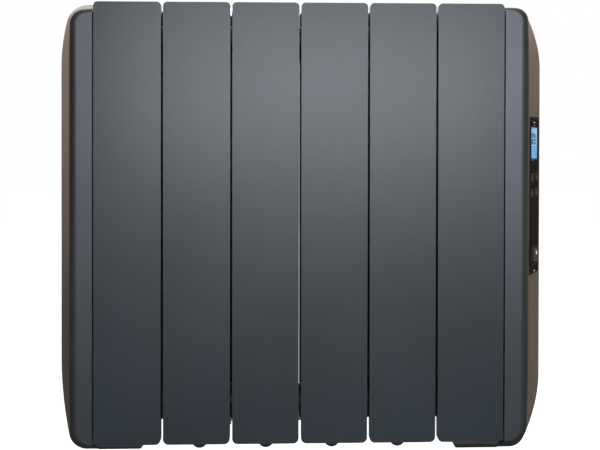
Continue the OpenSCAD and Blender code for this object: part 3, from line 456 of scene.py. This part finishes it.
def foot_solid(form, hollow=False):
    """Foot that carries on the underside below the outer element, or its hollow, open above and inwards."""
    high = cap_drop - foot_gap
    near = seam + cap_wall + overrun
    wall = cap_wall if hollow else 0
    up = form.foot_up + (foot_floor if hollow else 0)
    top = high + (overrun if hollow else 0)
    front, rear = foot_front + wall, cap_depth - foot_rear_in - wall
    side = [(front, underside(front, form.lowest_at) + up), (form.lowest_at, up), (rear, up),
            (rear, top), (front, top)]
    work = bmesh.new()
    ends = [[work.verts.new((near, plate_front + depth, z)) for depth, z in side]]
    ends.append([work.verts.new((-2 * foot_reach if hollow else foot_slant * (1 - z / high) - foot_reach,
                                 plate_front + depth, z)) for depth, z in side])
    for k in range(len(side)):
        j = (k + 1) % len(side)
        work.faces.new((ends[0][k], ends[0][j], ends[1][j], ends[1][k]))
    work.faces.new(ends[0][::-1])
    work.faces.new(ends[1])
    bmesh.ops.recalc_face_normals(work, faces=work.faces)
    if not hollow:
        ease_edges(work, foot_ease, lambda e: min(v.co.x for v in e.verts) < near - overrun,
                   steepest=30, segments=3)
    return work


def cut_or_join(base, tools):
    """Mesh of base after each tool solid is joined to it or cut from it, in order."""
    def loose(work, name):
        mesh = bpy.data.meshes.new(name)
        work.to_mesh(mesh)
        work.free()
        thing = bpy.data.objects.new(name, mesh)
        bpy.context.scene.collection.objects.link(thing)
        return thing
    body = loose(base, "cap_blank")
    used = []
    for how, tool in tools:
        used.append(loose(tool, "cap_tool"))
        step = body.modifiers.new(how, "BOOLEAN")
        step.operation = how
        step.solver = "EXACT"
        step.object = used[-1]
    work = bmesh.new()
    work.from_mesh(settled(body))
    for thing in used + [body]:
        bpy.data.objects.remove(thing)
    bmesh.ops.remove_doubles(work, verts=work.verts, dist=1e-6)
    bmesh.ops.dissolve_degenerate(work, edges=work.edges, dist=1e-6)
    return work


def rod(centre, axis, radius, length, steps=40):
    """Round bar from a centre point along an axis."""
    work = bmesh.new()
    turn = Vector((0, 0, 1)).rotation_difference(Vector(axis)).to_matrix().to_4x4()
    bmesh.ops.create_cone(work, cap_ends=True, segments=steps, radius1=radius, radius2=radius, depth=length,
                          matrix=Matrix.Translation(centre) @ turn)
    return work


screw_low, screw_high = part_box("cap_screws")
screw_head_r = 0.0038
screw_out = screw_high.x - screw_head_r - right_seat
screw_heights = [screw_low.z + screw_head_r, (screw_low.z + screw_high.z) / 2, screw_high.z - screw_head_r]
screw_hole_r = 0.00215
hole_l = 0.012
tab_reach, tab_root, tab_t = 0.0075, 0.004, 0.002
tab_front, tab_top = plate_front + 0.0036, plate_low + 0.0078
rib_near, rib_far = seam + 0.0006, 0.0036

def cap_shell(form, extra=()):
    """Cap with its foot and a ribbed tab at its lower corner, out from the block's end along +X."""
    holes = [("DIFFERENCE", rod((screw_out, plate_rear, z), (0, 1, 0), screw_hole_r, hole_l))
             for z in screw_heights]
    return cut_or_join(cap_solid(form, 0, seam), [
        ("UNION", foot_solid(form)),
        ("DIFFERENCE", cap_solid(form, cap_wall, seam - overrun)),
        ("DIFFERENCE", foot_solid(form, hollow=True)),
        ("UNION", block((-tab_reach, tab_front, plate_low), (tab_root, tab_front + tab_t, tab_top))),
        ("UNION", block((rib_near, plate_front + overrun, plate_low + overrun),
                        (rib_far, tab_front + overrun, tab_top - overrun))),
        *holes, *extra])


moulded_cap = finish("moulded_cap", paint(28, 29, 29), paint(33, 34, 33), (0.38, 0.45), 1600, 0.00005,
                     blotch=12, Specular_IOR_Level=0.40, Specular_Tint=(0.86, 0.90, 1.0, 1))
left_cap = cap_shell(CapForm(
    flat=0.0178, edge_r=0.012, flare=math.radians(25), crown=0.0012, top_in=0.0140,
    upper=Corner(front_r=0.0113, full_r=0.0265, sweep=0.0072, length=0.056),
    lower=Corner(front_r=0.0168, full_r=0.0214, sweep=0.0100, length=0.095),
    lowest_at=0.0542, foot_up=-0.0007))
bmesh.ops.scale(left_cap, vec=(-1, 1, 1), verts=left_cap.verts)
bmesh.ops.reverse_faces(left_cap, faces=left_cap.faces)
bmesh.ops.translate(left_cap, vec=(left_seat, 0, 0), verts=left_cap.verts)
fitted("moulded_left_cap", shaded(left_cap, "moulded_left_cap", cap_crease), moulded_cap, "radiator",
       "cap_plastic", "left_end_cap")

right_flare = math.radians(32)
fascia_low, fascia_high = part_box("panel_fascia")
fascia_t = 0.003
panel_along = Vector((math.sin(right_flare), math.cos(right_flare), 0))
panel_in = Vector((-math.cos(right_flare), math.sin(right_flare), 0))
panel_proud = 0.0005
panel_middle = (fascia_low + fascia_high) / 2 - panel_in * (fascia_t / 2 - panel_proud)
panel_w = 0.043
panel_h = fascia_high.z - fascia_low.z
panel_fit = 0.00025
panel_r = 0.0025
panel_hole_front, panel_hole_back = -0.002, 0.006
bush_hole_r = 0.00665

def panel_place():
    """Matrix of the panel: X along the flared side to the rear, Y inwards from the cap's face, Z up."""
    turn = Matrix((panel_along, panel_in, (0, 0, 1))).transposed().to_4x4()
    return Matrix.Translation(panel_middle) @ turn


def slab(width, height, front, back, radius, corner_steps=10):
    """Plate with rounded corners on the panel, from depth front to back behind its face."""
    work = bmesh.new()
    outline = []
    for turn, (sx, sz) in enumerate(((1, 1), (-1, 1), (-1, -1), (1, -1))):
        for k in range(corner_steps + 1):
            a = math.pi / 2 * (turn + k / corner_steps)
            outline.append((sx * (width / 2 - radius) + radius * math.cos(a),
                            sz * (height / 2 - radius) + radius * math.sin(a)))
    ends = [[work.verts.new((x, y, z)) for x, z in outline] for y in (front, back)]
    for k in range(len(outline)):
        j = (k + 1) % len(outline)
        work.faces.new((ends[0][k], ends[0][j], ends[1][j], ends[1][k]))
    work.faces.new(ends[0][::-1])
    work.faces.new(ends[1])
    bmesh.ops.recalc_face_normals(work, faces=work.faces)
    return work


def from_right_seat(work):
    work.transform(Matrix.Translation((-right_seat, 0, 0)) @ panel_place())
    return work


bush_low, bush_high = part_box("cable_bush")
bush_mid = (bush_low + bush_high) / 2
bush_hole = rod((bush_mid.x - right_seat, plate_rear, bush_mid.z), (0, 1, 0), bush_hole_r, hole_l)
panel_hole = from_right_seat(slab(panel_w + 2 * panel_fit, panel_h + 2 * panel_fit,
                                  panel_hole_front, panel_hole_back, panel_r))
right_cap = cap_shell(CapForm(
    flat=0.0188, edge_r=0.0138, flare=right_flare, crown=0, top_in=0.007,
    upper=Corner(front_r=0.013, full_r=0.020, sweep=0.0175, length=0.065),
    lower=Corner(front_r=0.0179, full_r=0.0198, sweep=0.0212, length=0.0796),
    lowest_at=0.0469, foot_up=-0.0004), [("DIFFERENCE", panel_hole), ("DIFFERENCE", bush_hole)])
bmesh.ops.translate(right_cap, vec=(right_seat, 0, 0), verts=right_cap.verts)
fitted("moulded_right_cap", shaded(right_cap, "moulded_right_cap", cap_crease), moulded_cap, "radiator",
       "cap_plastic", "right_end_cap")


# Fittings of the fluid circuit: zinc-plated nipples and rubber rings between the hubs,
# plugs in three of the outer mouths, and turned plugs in the ducts' upper ends.
def dress(material, *nodes):
    """Gives CAD nodes whose shape is right their finish."""
    for node in nodes:
        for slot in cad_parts[node].material_slots:
            slot.material = material


zinc_plate = finish("zinc_plate", paint(150, 152, 156), paint(184, 186, 190), (0.24, 0.42), 500, 0.00002,
                    metal=1, blotch=160)
gasket_rubber = finish("gasket_rubber", paint(24, 24, 25), paint(33, 33, 34), (0.6, 0.75), 2500, 0.00005)
dress(zinc_plate, "blank_plugs", "duct_top_plugs", "hub_nipples")
dress(gasket_rubber, "hub_gaskets", "end_gaskets")


# Immersion heater: a hairpin of steel-sheathed rod with a brass screwed head and two
# ceramic-beaded terminals, screwed into the lower header from the control side.
heater_sheath = finish("heater_sheath", paint(104, 92, 80), paint(132, 124, 116), (0.3, 0.45), 700, 0.00003,
                       metal=1, blotch=60)
brass = finish("brass_fitting", paint(176, 150, 92), paint(198, 172, 112), (0.22, 0.36), 900, 0.00002, metal=1)
ceramic = finish("terminal_ceramic", paint(214, 208, 192), paint(230, 226, 214), (0.35, 0.5), 900, 0.00004)
dress(heater_sheath, "immersion_heater")
dress(brass, "heater_flange")
dress(ceramic, "heater_terminals")


# End chassis: folded sheet-steel brackets in black paint, clamped under the outer hub
# fittings. They carry the end caps, the power board and the safety thermostat.
chassis_paint = finish("chassis_paint", paint(30, 31, 33), paint(38, 39, 41), (0.4, 0.55), 1200, 0.00003)

def eased(name, node, material, slot, width, body="radiator", crease=32, segments=2):
    """Piece with a CAD node's shape and its steep outer edges rounded."""
    work = whole_solid(node)
    ease_edges(work, width, segments=segments)
    return fitted(name, shaded(work, name, crease), material, body, slot, node)


for side in ("left", "right"):
    eased(f"folded_{side}_chassis", f"{side}_chassis", chassis_paint, "chassis_steel", 0.0003)


# Cap screws: three black steel pan-head screws with a cross recess hold each cap. They
# go in from the rear, through the cap's rear wall into its chassis.
screw_shank_r = 0.00195
screw_head_t = 0.0023
recess_w = 0.0007
recess_l = 0.0036
recess_depth = 0.0014
screw_black = finish("screw_black", paint(40, 40, 42), paint(58, 58, 60), (0.3, 0.42), 2600, 0.00001, metal=1)

def pan_head_screw():
    """Screw about Z with its head up, the head's seat at zero."""
    tip = screw_low.y - plate_rear
    outline = [(0, tip), (screw_shank_r - 0.0004, tip), (screw_shank_r, tip + 0.0008), (screw_shank_r, 0),
               (screw_head_r - 0.0003, 0), (screw_head_r, 0.0003)]
    for k in range(9):
        a = math.radians(90 * k / 8)
        outline.append((screw_head_r * math.cos(a), 0.0005 + (screw_head_t - 0.0005) * math.sin(a)))
    body = bmesh.new()
    body.from_mesh(turned(outline[:-1] + [(0, screw_head_t)], "pan_head", 32))
    cuts = []
    for across, up in ((recess_l, recess_w), (recess_w, recess_l)):
        cuts.append(("DIFFERENCE", block((-across / 2, -up / 2, screw_head_t - recess_depth),
                                         (across / 2, up / 2, screw_head_t + overrun))))
    return shaded(cut_or_join(body, cuts), "pan_head_screw", 40)


cap_screw = pan_head_screw()
cap_screw.transform(Matrix.Rotation(math.radians(-90), 4, "X"))
cap_screw.transform(Matrix.Translation((left_seat - screw_out, plate_rear, screw_heights[0])))
cap_screws = set_out("cap_screws_cross_recess", cap_screw, screw_black,
                     len(screw_heights), (0, 0, screw_heights[1] - screw_heights[0]),
                     2, (right_seat - left_seat + 2 * screw_out, 0, 0))
fitted("cap_screws_cross_recess", cap_screws, screw_black, "radiator", "screw_steel", "cap_screws")


# Control panel: a black gloss fascia let into the right cap's flared side, with a clear
# window over the display, a small lens above it, four key holes and the switch hole.
gloss_black = finish("gloss_black", paint(24, 17, 16), paint(28, 20, 19), (0.06, 0.10), 600, 0.000002)
eased("gloss_fascia", "panel_fascia", gloss_black, "fascia_gloss", 0.0003, segments=3)

clear_window = finish("clear_window", paint(225, 235, 245), paint(230, 240, 250), (0.02, 0.04), 300, 0.000001,
                      Transmission_Weight=1.0, IOR=1.49)
dress(clear_window, "display_window")
lens_white = finish("lens_white", paint(166, 176, 168), paint(184, 192, 186), (0.25, 0.35), 900, 0.00001)
dress(lens_white, "indicator_lens")


# Display: a back-lit liquid-crystal module behind a black printed border. Its pale blue
# field shows dark digits, turned a quarter so that they read along the radiator, above
# a stronger blue field of bars and a dark line. The dark line along the field's lower
# edge is a painted shadow of the window's edge, drawn in the digits' ink.
window_low, window_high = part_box("display_window")
window_w = 0.029
window_h = window_high.z - window_low.z
window_up = (window_low.z + window_high.z) / 2 - panel_middle.z
lcd_front = 0.0028
film_t = 0.00006
border_depth = 0.0026
border_front, border_rear, border_top, border_low = 0.0050, 0.0004, 0.0006, 0.0004
digit_w, digit_h, bar_w, stem_w = 0.0062, 0.0180, 0.0032, 0.0021
digit_off = 0.0037
digits_along, digits_up = 0.0022, 0.0058
lcd_bar_count, lcd_bar_up, lcd_bar_step, lcd_bar_t = 5, -0.0040, 0.0027, 0.0021
# Height and thickness of the painted shadow strip along the field's lower edge
edge_shadow_up, edge_shadow_t = 0.0007, 0.0016

def glow(name, dark, light, strength, cell):
    """Back-lit field without shine, with a faint grid of cells."""
    material = finish(name, dark, light, (0.3, 0.4), cell, 0.000001, blotch=60, Specular_IOR_Level=0)
    nodes = material.node_tree.nodes
    shader = nodes["Principled BSDF"]
    tint = next(n for n in nodes if n.type == "VALTORGB")
    material.node_tree.links.new(tint.outputs["Color"], shader.inputs["Emission Color"])
    shader.inputs["Emission Strength"].default_value = strength
    return material


lcd_field = glow("lcd_field", paint(148, 194, 218), paint(168, 208, 228), 1.1, 2000)
lcd_blue = glow("lcd_blue", paint(94, 168, 206), paint(110, 180, 216), 1.1, 2000)
lcd_ink = glow("lcd_ink", paint(8, 26, 90), paint(14, 36, 110), 0.4, 2000)
border_black = finish("border_black", paint(16, 14, 14), paint(20, 18, 18), (0.5, 0.6), 900, 0.000001,
                      Specular_IOR_Level=0)
dress(lcd_field, "lcd_module")

segments = {"0": "abcdef", "2": "abged"}

def segment_bars(digit, x):
    """Outlines of a seven-bar digit about a place on the display."""
    half = digit_h / 2
    side = digit_w - stem_w
    bars = {"a": (0, half - bar_w / 2, side, bar_w), "g": (0, 0, side, bar_w),
            "d": (0, bar_w / 2 - half, side, bar_w)}
    for name, sx, sz in (("f", -1, 1), ("b", 1, 1), ("e", -1, -1), ("c", 1, -1)):
        bars[name] = (sx * side / 2, sz * half / 2, stem_w, half - bar_w)
    return [bar_outline(x + bars[k][0], bars[k][1], bars[k][2], bars[k][3]) for k in segments[digit]]


def bar_outline(x, z, width, height):
    return [(x + sx * width / 2, z + sz * height / 2) for sx, sz in ((-1, -1), (1, -1), (1, 1), (-1, 1))]


def stamp(name, outlines, place, depth, thick, material, slot, body="radiator"):
    """Print or film of flat outlines (x, z) at a depth behind a plane of the panel."""
    work = bmesh.new()
    for outline in outlines:
        ends = [[work.verts.new((x, y, z)) for x, z in outline] for y in (depth - thick, depth)]
        for k in range(len(outline)):
            j = (k + 1) % len(outline)
            work.faces.new((ends[0][k], ends[0][j], ends[1][j], ends[1][k]))
        work.faces.new(ends[0][::-1])
        work.faces.new(ends[1])
    bmesh.ops.recalc_face_normals(work, faces=work.faces)
    work.transform(place)
    return fitted(name, shaded(work, name), material, body, slot)


quarter_turn = Matrix.Rotation(math.radians(90), 4, "Y")
display_place = panel_place() @ Matrix.Translation((0, 0, window_up))
digits_place = display_place @ Matrix.Translation((digits_along, 0, digits_up)) @ quarter_turn
digits = segment_bars("2", -digit_off) + segment_bars("0", digit_off)
stamp("lcd_digits", digits, digits_place, lcd_front, film_t, lcd_ink, "lcd_backlight")
seen_w = window_w - border_front - border_rear
seen_x = (border_front - border_rear) / 2
bars = [bar_outline(seen_x, lcd_bar_up - lcd_bar_step * k, seen_w, lcd_bar_t) for k in range(lcd_bar_count)]
stamp("lcd_bars", bars, display_place, lcd_front, film_t, lcd_blue, "lcd_backlight")
# Dark ink strip along the field's lower edge: painted shadow of the window's edge.
edge_shadow_strip = [bar_outline(seen_x, border_low + edge_shadow_up - window_h / 2, seen_w, edge_shadow_t)]
stamp("lcd_painted_edge_shadow", edge_shadow_strip, display_place, lcd_front, film_t, lcd_ink, "lcd_backlight")
border = [bar_outline((border_front - window_w) / 2, 0, border_front, window_h),
          bar_outline((window_w - border_rear) / 2, 0, border_rear, window_h),
          bar_outline(seen_x, (window_h - border_top) / 2, seen_w, border_top),
          bar_outline(seen_x, (border_low - window_h) / 2, seen_w, border_low)]
stamp("window_border", border, display_place, border_depth, film_t, border_black, "fascia_gloss")


# Keys: four gloss buttons almost flush with the fascia, each with a hidden rim behind it
# and a small grey mark printed on its face. The fascia has a printed line above the
# display and a short white mark below the switch.
key_pitch = 0.020
key_face = -0.0009
print_t = 0.00003
key_gloss = finish("key_gloss", paint(17, 16, 16), paint(22, 21, 21), (0.10, 0.16), 900, 0.000004)
mark_grey = finish("mark_grey", paint(86, 84, 84), paint(100, 98, 98), (0.4, 0.5), 3000, 0.000002)

def ring_outlines(radius, width, first=0, last=360, steps=20):
    """Short bars that make an arc."""
    outlines = []
    for k in range(steps):
        a, b = (math.radians(first + (last - first) * (k + j) / steps) for j in (0, 1))
        outlines.append([(r * math.sin(t), r * math.cos(t)) for r, t in
                         ((radius, a), (radius, b), (radius - width, b), (radius - width, a))])
    return outlines


chevron = [[(-0.0022, -0.0011), (0, 0.0009), (0, 0.0017), (-0.0026, -0.0007)],
           [(0, 0.0009), (0.0022, -0.0011), (0.0026, -0.0007), (0, 0.0017)]]
key_marks = {
    "front_upper": [bar_outline(0, 0, 0.0004, 0.002)] + ring_outlines(0.0021, 0.0004, 40, 320),
    "rear_upper": chevron,
    "front_lower": [bar_outline(0, 0.0007 * k, 0.0036, 0.0004) for k in (-2, 0, 2)],
    "rear_lower": [[(x, -z) for x, z in reversed(outline)] for outline in chevron],
}
for where, outlines in key_marks.items():
    key_low, key_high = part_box(f"key_{where}")
    eased(f"gloss_key_{where}", f"key_{where}", key_gloss, "key_gloss", 0.0003, f"key_{where}", segments=3)
    across = (-1 if where.startswith("front") else 1) * key_pitch / 2
    up = (key_low.z + key_high.z) / 2 - panel_middle.z
    stamp(f"key_mark_{where}", outlines, panel_place() @ Matrix.Translation((across, 0, up)), key_face, print_t,
          mark_grey, "indicator_white", f"key_{where}")
stamp("status_line", [bar_outline(0, 0, 0.011, 0.0005)], display_place @ Matrix.Translation((0, 0, 0.0222)),
      -panel_proud, print_t, mark_grey, "indicator_white")
mark_white = finish("mark_white", paint(214, 214, 210), paint(226, 226, 222), (0.4, 0.5), 3000, 0.000002)
stamp("low_mark", [bar_outline(0, 0, 0.0050, 0.0013)], panel_place() @ Matrix.Translation((0.002, 0, -0.0914)),
      -panel_proud, print_t, mark_white, "indicator_white")


# Mains switch: a black rocker on an upright pin, with two brass tabs at the housing's
# back. A smoky lens is set into its rear half, and the halves carry a bar and a ring.
# The lens's lighter colour is painted light on the raised rear half, against the black
# front half, and the rear bar's white is partly a painted highlight.
switch_low, switch_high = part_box("switch_rocker")
switch_shift = 0.004
pivot_in = 0.004
rocker_turn = math.radians(-11)
rocker_slope = math.atan2(0.0020, 0.0118)
rocker_face = -0.0055
half_middle = 0.0059
lens_half_w, lens_half_h = 0.0052, 0.0082
lens_proud, lens_sunk = 0.00025, 0.0003
switch_black = finish("switch_black", paint(12, 11, 11), paint(16, 15, 15), (0.55, 0.65), 1800, 0.00002,
                      Specular_IOR_Level=0.1)
rocker_black = finish("rocker_black", paint(10, 10, 10), paint(14, 14, 14), (0.45, 0.55), 1800, 0.00001,
                      Specular_IOR_Level=0.15)
# Lens colour lighter than the rocker's black: painted light on the raised rear half.
raised_half_lit_lens = finish("raised_half_lit_lens", paint(34, 41, 38), paint(44, 52, 48), (0.30, 0.38), 1800, 0.00001,
                    Specular_IOR_Level=0.3)
eased("switch_frame", "switch_housing", switch_black, "switch_black", 0.0003, segments=3)
eased("switch_rocker_half_gloss", "switch_rocker", rocker_black, "rocker_black", 0.0004, "rocker", segments=3)
rocker_place = (panel_place() @ Matrix.Translation((-switch_shift, pivot_in,
                                                    (switch_low.z + switch_high.z) / 2 - panel_middle.z))
                @ Matrix.Rotation(rocker_turn, 4, "Z"))

def rocker_half(side):
    """Matrix of the rocker's rear half (1) or front half (-1)."""
    return (rocker_place @ Matrix.Translation((side * half_middle, rocker_face, 0))
            @ Matrix.Rotation(-side * rocker_slope, 4, "Z"))


lens = block((-lens_half_w, -lens_proud, -lens_half_h), (lens_half_w, lens_sunk, lens_half_h), 0.0002)
lens.transform(rocker_half(1))
fitted("rocker_lens_lit_half", shaded(lens, "rocker_lens_lit_half"), raised_half_lit_lens, "rocker", "rocker_black")
# White bar on the raised half: a printed mark and a painted highlight.
stamp("rocker_bar_and_highlight", [bar_outline(0.001, 0.0022, 0.0016, 0.0044)], rocker_half(1), -lens_proud, print_t,
      mark_white, "indicator_white", "rocker")
stamp("rocker_ring", ring_outlines(0.0021, 0.0006), rocker_half(-1), 0, print_t,
      mark_grey, "indicator_white", "rocker")
dress(brass, "switch_tabs")


# Control housing and boards: an open-backed black box clipped behind the fascia, a green
# board with its chips and tact switches, and a brown power board on brass stand-offs.
housing_black = finish("housing_black", paint(22, 22, 23), paint(29, 29, 30), (0.45, 0.6), 1500, 0.00004)
board_green = finish("board_green", paint(22, 74, 42), paint(30, 92, 54), (0.25, 0.4), 2200, 0.00001,
                     blotch=900)
board_brown = finish("board_brown", paint(128, 92, 52), paint(150, 112, 66), (0.5, 0.65), 1400, 0.00002,
                     blotch=420, stretch=(1, 6, 1))
eased("control_box", "control_housing", housing_black, "housing_black", 0.0004)
eased("control_board_green", "control_board", board_green, "board_green", 0.0001)
eased("power_board_brown", "power_board", board_brown, "board_brown", 0.0002)
dress(housing_black, "tact_switches", "triac")
dress(brass, "board_standoffs")


# Parts on the power board: a blue relay, a yellow film capacitor, a finned aluminium
# heat sink behind the triac, and a three-way screw terminal.
relay_blue = finish("relay_blue", paint(34, 84, 150), paint(42, 98, 170), (0.3, 0.45), 1500, 0.00002)
capacitor_yellow = finish("capacitor_yellow", paint(206, 176, 52), paint(222, 194, 70), (0.25, 0.4),
                          1200, 0.00002)
drawn_aluminium = finish("drawn_aluminium", paint(196, 198, 202), paint(222, 224, 228), (0.25, 0.42),
                         700, 0.00002, metal=1, blotch=220, stretch=(0.1, 1, 1))
terminal_white = finish("terminal_white", paint(206, 206, 198), paint(222, 222, 214), (0.4, 0.55),
                        1500, 0.00002)
eased("relay_case", "relay", relay_blue, "relay_blue", 0.0008, segments=3)
eased("capacitor_case", "filter_capacitor", capacitor_yellow, "capacitor_yellow", 0.0009, segments=3)
eased("finned_sink", "heat_sink", drawn_aluminium, "bare_aluminium", 0.0002)
eased("screw_terminal", "terminal_block", terminal_white, "terminal_white", 0.0005)


# Safety thermostat, room sensor and cable bush: a ceramic disc under a steel strap, a
# resin bead on a clip, and a black bush with a hexagon nut in the cap's rear wall.
eased("thermostat_disc", "safety_thermostat", ceramic, "terminal_ceramic", 0.0003)
dress(zinc_plate, "thermostat_screws")
dress(gasket_rubber, "room_sensor")
eased("bush_with_nut", "cable_bush", housing_black, "housing_black", 0.0004, segments=3)


# Wires: stranded copper leads in red silicone sleeves, from the heater and the switch to
# the power board, each held by its terminals.
wire_red = finish("wire_red", paint(150, 24, 20), paint(170, 34, 28), (0.4, 0.55), 1800, 0.00002)
wires = shaded(whole_solid("internal_wiring"), "silicone_wires", 60)
fitted("silicone_wires", wires, wire_red, "radiator", "wire_red", "internal_wiring")


# Wall frame: zinc-plated steel straps with hooks over the rear plates and rests below
# them, a folded lip under each rest, two crossbars, and pale plastic sleeves on the
# rests.
frame_zinc = finish("frame_zinc", paint(180, 183, 190), paint(206, 209, 216), (0.3, 0.5), 420, 0.00003,
                    metal=1, blotch=140)
sleeve_plastic = finish("sleeve_plastic", paint(222, 222, 216), paint(234, 234, 228), (0.4, 0.55),
                        1500, 0.00002)
eased("pressed_uprights", "frame_uprights", frame_zinc, "zinc_plate", 0.0004)
eased("pressed_crossbars", "frame_crossbars", frame_zinc, "zinc_plate", 0.0003)
eased("seat_sleeves", "frame_sleeves", sleeve_plastic, "sleeve_plastic", 0.0002)
sleeve_low, sleeve_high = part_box("frame_sleeves")
strap_w, strap_t, sleeve_in = 0.018, 0.0015, 0.001
lip_drop, lip_ease = 0.0038, 0.0004
for n, x in ((1, sleeve_low.x - sleeve_in), (2, sleeve_high.x + sleeve_in - strap_w)):
    lip = block((x, sleeve_low.y - strap_t, sleeve_low.z - strap_t - lip_drop),
                (x + strap_w, sleeve_low.y, sleeve_low.z - strap_t), lip_ease)
    fitted(f"rest_lip_{n}", shaded(lip, f"rest_lip_{n}"), frame_zinc, "radiator", "zinc_plate")


# Floor, lamps and white surround: a pale studio floor below the hanging radiator and a
# wide soft lamp in front. Cards that only reflections see give the caps' flared sides
# their warm tone, their rounded edges the dark bands, and the panel its black.
white_share = 0.64
surround_glow = 0.3
floor_z = -0.15
floor_half = 6
floor_mesh = bpy.data.meshes.new("studio_floor")
floor_mesh.from_pydata([(sx * floor_half, sy * floor_half, floor_z)
                        for sx, sy in ((-1, -1), (1, -1), (1, 1), (-1, 1))], [], [(0, 1, 2, 3)])
floor = bpy.data.objects.new("studio_floor", floor_mesh)
bpy.context.scene.collection.objects.link(floor)
pale_floor = finish("pale_floor", paint(236, 236, 236), paint(240, 240, 240), (0.6, 0.7), 200, 0.0001)
floor_mesh.materials.append(pale_floor)

def seen_directly(tree):
    """Socket that is 1 for rays from the camera, from gloss and through glass, and 0 for the rest."""
    path = tree.nodes.new("ShaderNodeLightPath")
    result = path.outputs["Is Camera Ray"]
    for ray in ("Is Glossy Ray", "Is Transmission Ray"):
        either = tree.nodes.new("ShaderNodeMath")
        either.operation = "MAXIMUM"
        tree.links.new(result, either.inputs[0])
        tree.links.new(path.outputs[ray], either.inputs[1])
        result = either.outputs[0]
    return result


def between(tree, factor, low, high, start=0, end=1):
    """Value that goes from low to high while a factor goes from start to end."""
    span = tree.nodes.new("ShaderNodeMapRange")
    for socket, value in (("From Min", start), ("From Max", end), ("To Min", low), ("To Max", high)):
        span.inputs[socket].default_value = value
    tree.links.new(factor, span.inputs["Value"])
    return span.outputs["Result"]


lift = pale_floor.node_tree
shine = lift.nodes["Principled BSDF"]
shine.inputs["Emission Color"].default_value = (1, 1, 1, 1)
lift.links.new(between(lift, seen_directly(lift), 0, white_share), shine.inputs["Emission Strength"])

def soft_lamp(name, place, aim, width, height, radiance, colour):
    """Rectangular lamp of a given radiance, unseen by the camera."""
    data = bpy.data.lights.new(name, "AREA")
    data.shape = "RECTANGLE"
    data.size = width
    data.size_y = height
    data.color = colour
    data.energy = radiance * math.pi * width * height
    lamp = bpy.data.objects.new(name, data)
    lamp.location = place
    lamp.rotation_euler = (Vector(aim) - Vector(place)).to_track_quat("-Z", "Y").to_euler()
    lamp.visible_camera = False
    bpy.context.scene.collection.objects.link(lamp)


def card(name, corners, low, high, low_z=-0.15, high_z=0.7, glass=False):
    """Card through four corners that only reflections see, its glow graded from low to high."""
    mesh = bpy.data.meshes.new(name)
    mesh.from_pydata(corners, [], [(0, 1, 2, 3)])
    material = bpy.data.materials.new(name)
    material.use_nodes = True
    tree = material.node_tree
    place = tree.nodes.new("ShaderNodeTexCoord")
    split = tree.nodes.new("ShaderNodeSeparateXYZ")
    tree.links.new(place.outputs["Object"], split.inputs["Vector"])
    tint = tree.nodes.new("ShaderNodeValToRGB")
    tint.color_ramp.elements[0].color = low
    tint.color_ramp.elements[1].color = high
    tree.links.new(between(tree, split.outputs["Z"], 0, 1, low_z, high_z), tint.inputs["Fac"])
    glow_node = tree.nodes.new("ShaderNodeEmission")
    tree.links.new(tint.outputs["Color"], glow_node.inputs["Color"])
    tree.links.new(glow_node.outputs["Emission"], tree.nodes["Material Output"].inputs["Surface"])
    mesh.materials.append(material)
    sheet = bpy.data.objects.new(name, mesh)
    bpy.context.scene.collection.objects.link(sheet)
    sheet.visible_camera = False
    sheet.visible_diffuse = False
    sheet.visible_shadow = False
    sheet.visible_transmission = glass


def upright_card(name, ends, low, high, low_colour, high_colour, full_z=0.7, glass=False):
    (x1, y1), (x2, y2) = ends
    card(name, [(x1, y1, low), (x2, y2, low), (x2, y2, high), (x1, y1, high)], low_colour, high_colour,
         high_z=full_z, glass=glass)


def floor_card(name, x1, x2, y1, y2, colour, z=-0.14):
    card(name, [(x1, y1, z), (x2, y1, z), (x2, y2, z), (x1, y2, z)], colour, colour)


dark = (0.02, 0.018, 0.017, 1)
shade = (0.05, 0.047, 0.045, 1)
sky = (2.6, 2.35, 2.1, 1)
soft_lamp("front_box", (0.27, -3.15, 0.65), (0.1, 0, 0.4), 2.3, 0.42, 46.3, (0.89, 0.93, 1.0))
soft_lamp("rear_box", (0.0, 3.2, 1.2), (0, 0, 0.3), 2.0, 1.2, 3.0, (1.0, 1.0, 1.0))
floor_card("front_floor_card", -3, 3, -2.9, 0.3, shade)
floor_card("front_glow_card", -0.42, 0.5, -2.2, -0.85, (0.72, 0.74, 0.74, 1), -0.135)
floor_card("left_rear_floor_card", -3, 0, 0.3, 2.6, (0.26, 0.2, 0.155, 1))
floor_card("right_rear_floor_card", 0, 3, 0.3, 2.6, (0.7, 0.55, 0.4, 1))
upright_card("left_warm_card", ((-2.3, 0.6), (-0.4, 2.1)), -0.15, 2.2,
             (0.34, 0.265, 0.205, 1), (1.12, 0.79, 0.63, 1), full_z=0.5)
upright_card("right_warm_card", ((2.4, 0.5), (0.5, 2.1)), -0.15, 2.2,
             (0.8, 0.62, 0.45, 1), (1.14, 0.85, 0.67, 1))
upright_card("panel_card", ((1.27, 1.08), (1.41, 0.94)), -0.06, 0.43, dark, dark, glass=True)
upright_card("left_dark_card", ((-1.6, -1.6), (-1.9, 0.7)), -0.15, 2.2, dark, dark)
upright_card("right_dark_card", ((1.8, -1.3), (2.0, 0.6)), -0.15, 2.2,
             (0.8, 0.72, 0.62, 1), (0.12, 0.105, 0.09, 1))
upright_card("top_left_card", ((-2.1, 0.5), (-0.3, 1.95)), 1.0, 2.2, sky, sky)

world = bpy.data.worlds.new("white_surround")
bpy.context.scene.world = world
world.use_nodes = True
surround = world.node_tree
surround.nodes["Background"].inputs["Color"].default_value = (1, 1, 1, 1)
surround.links.new(between(surround, seen_directly(surround), surround_glow, 1),
                   surround.nodes["Background"].inputs["Strength"])
bpy.context.scene.view_settings.view_transform = "Standard"
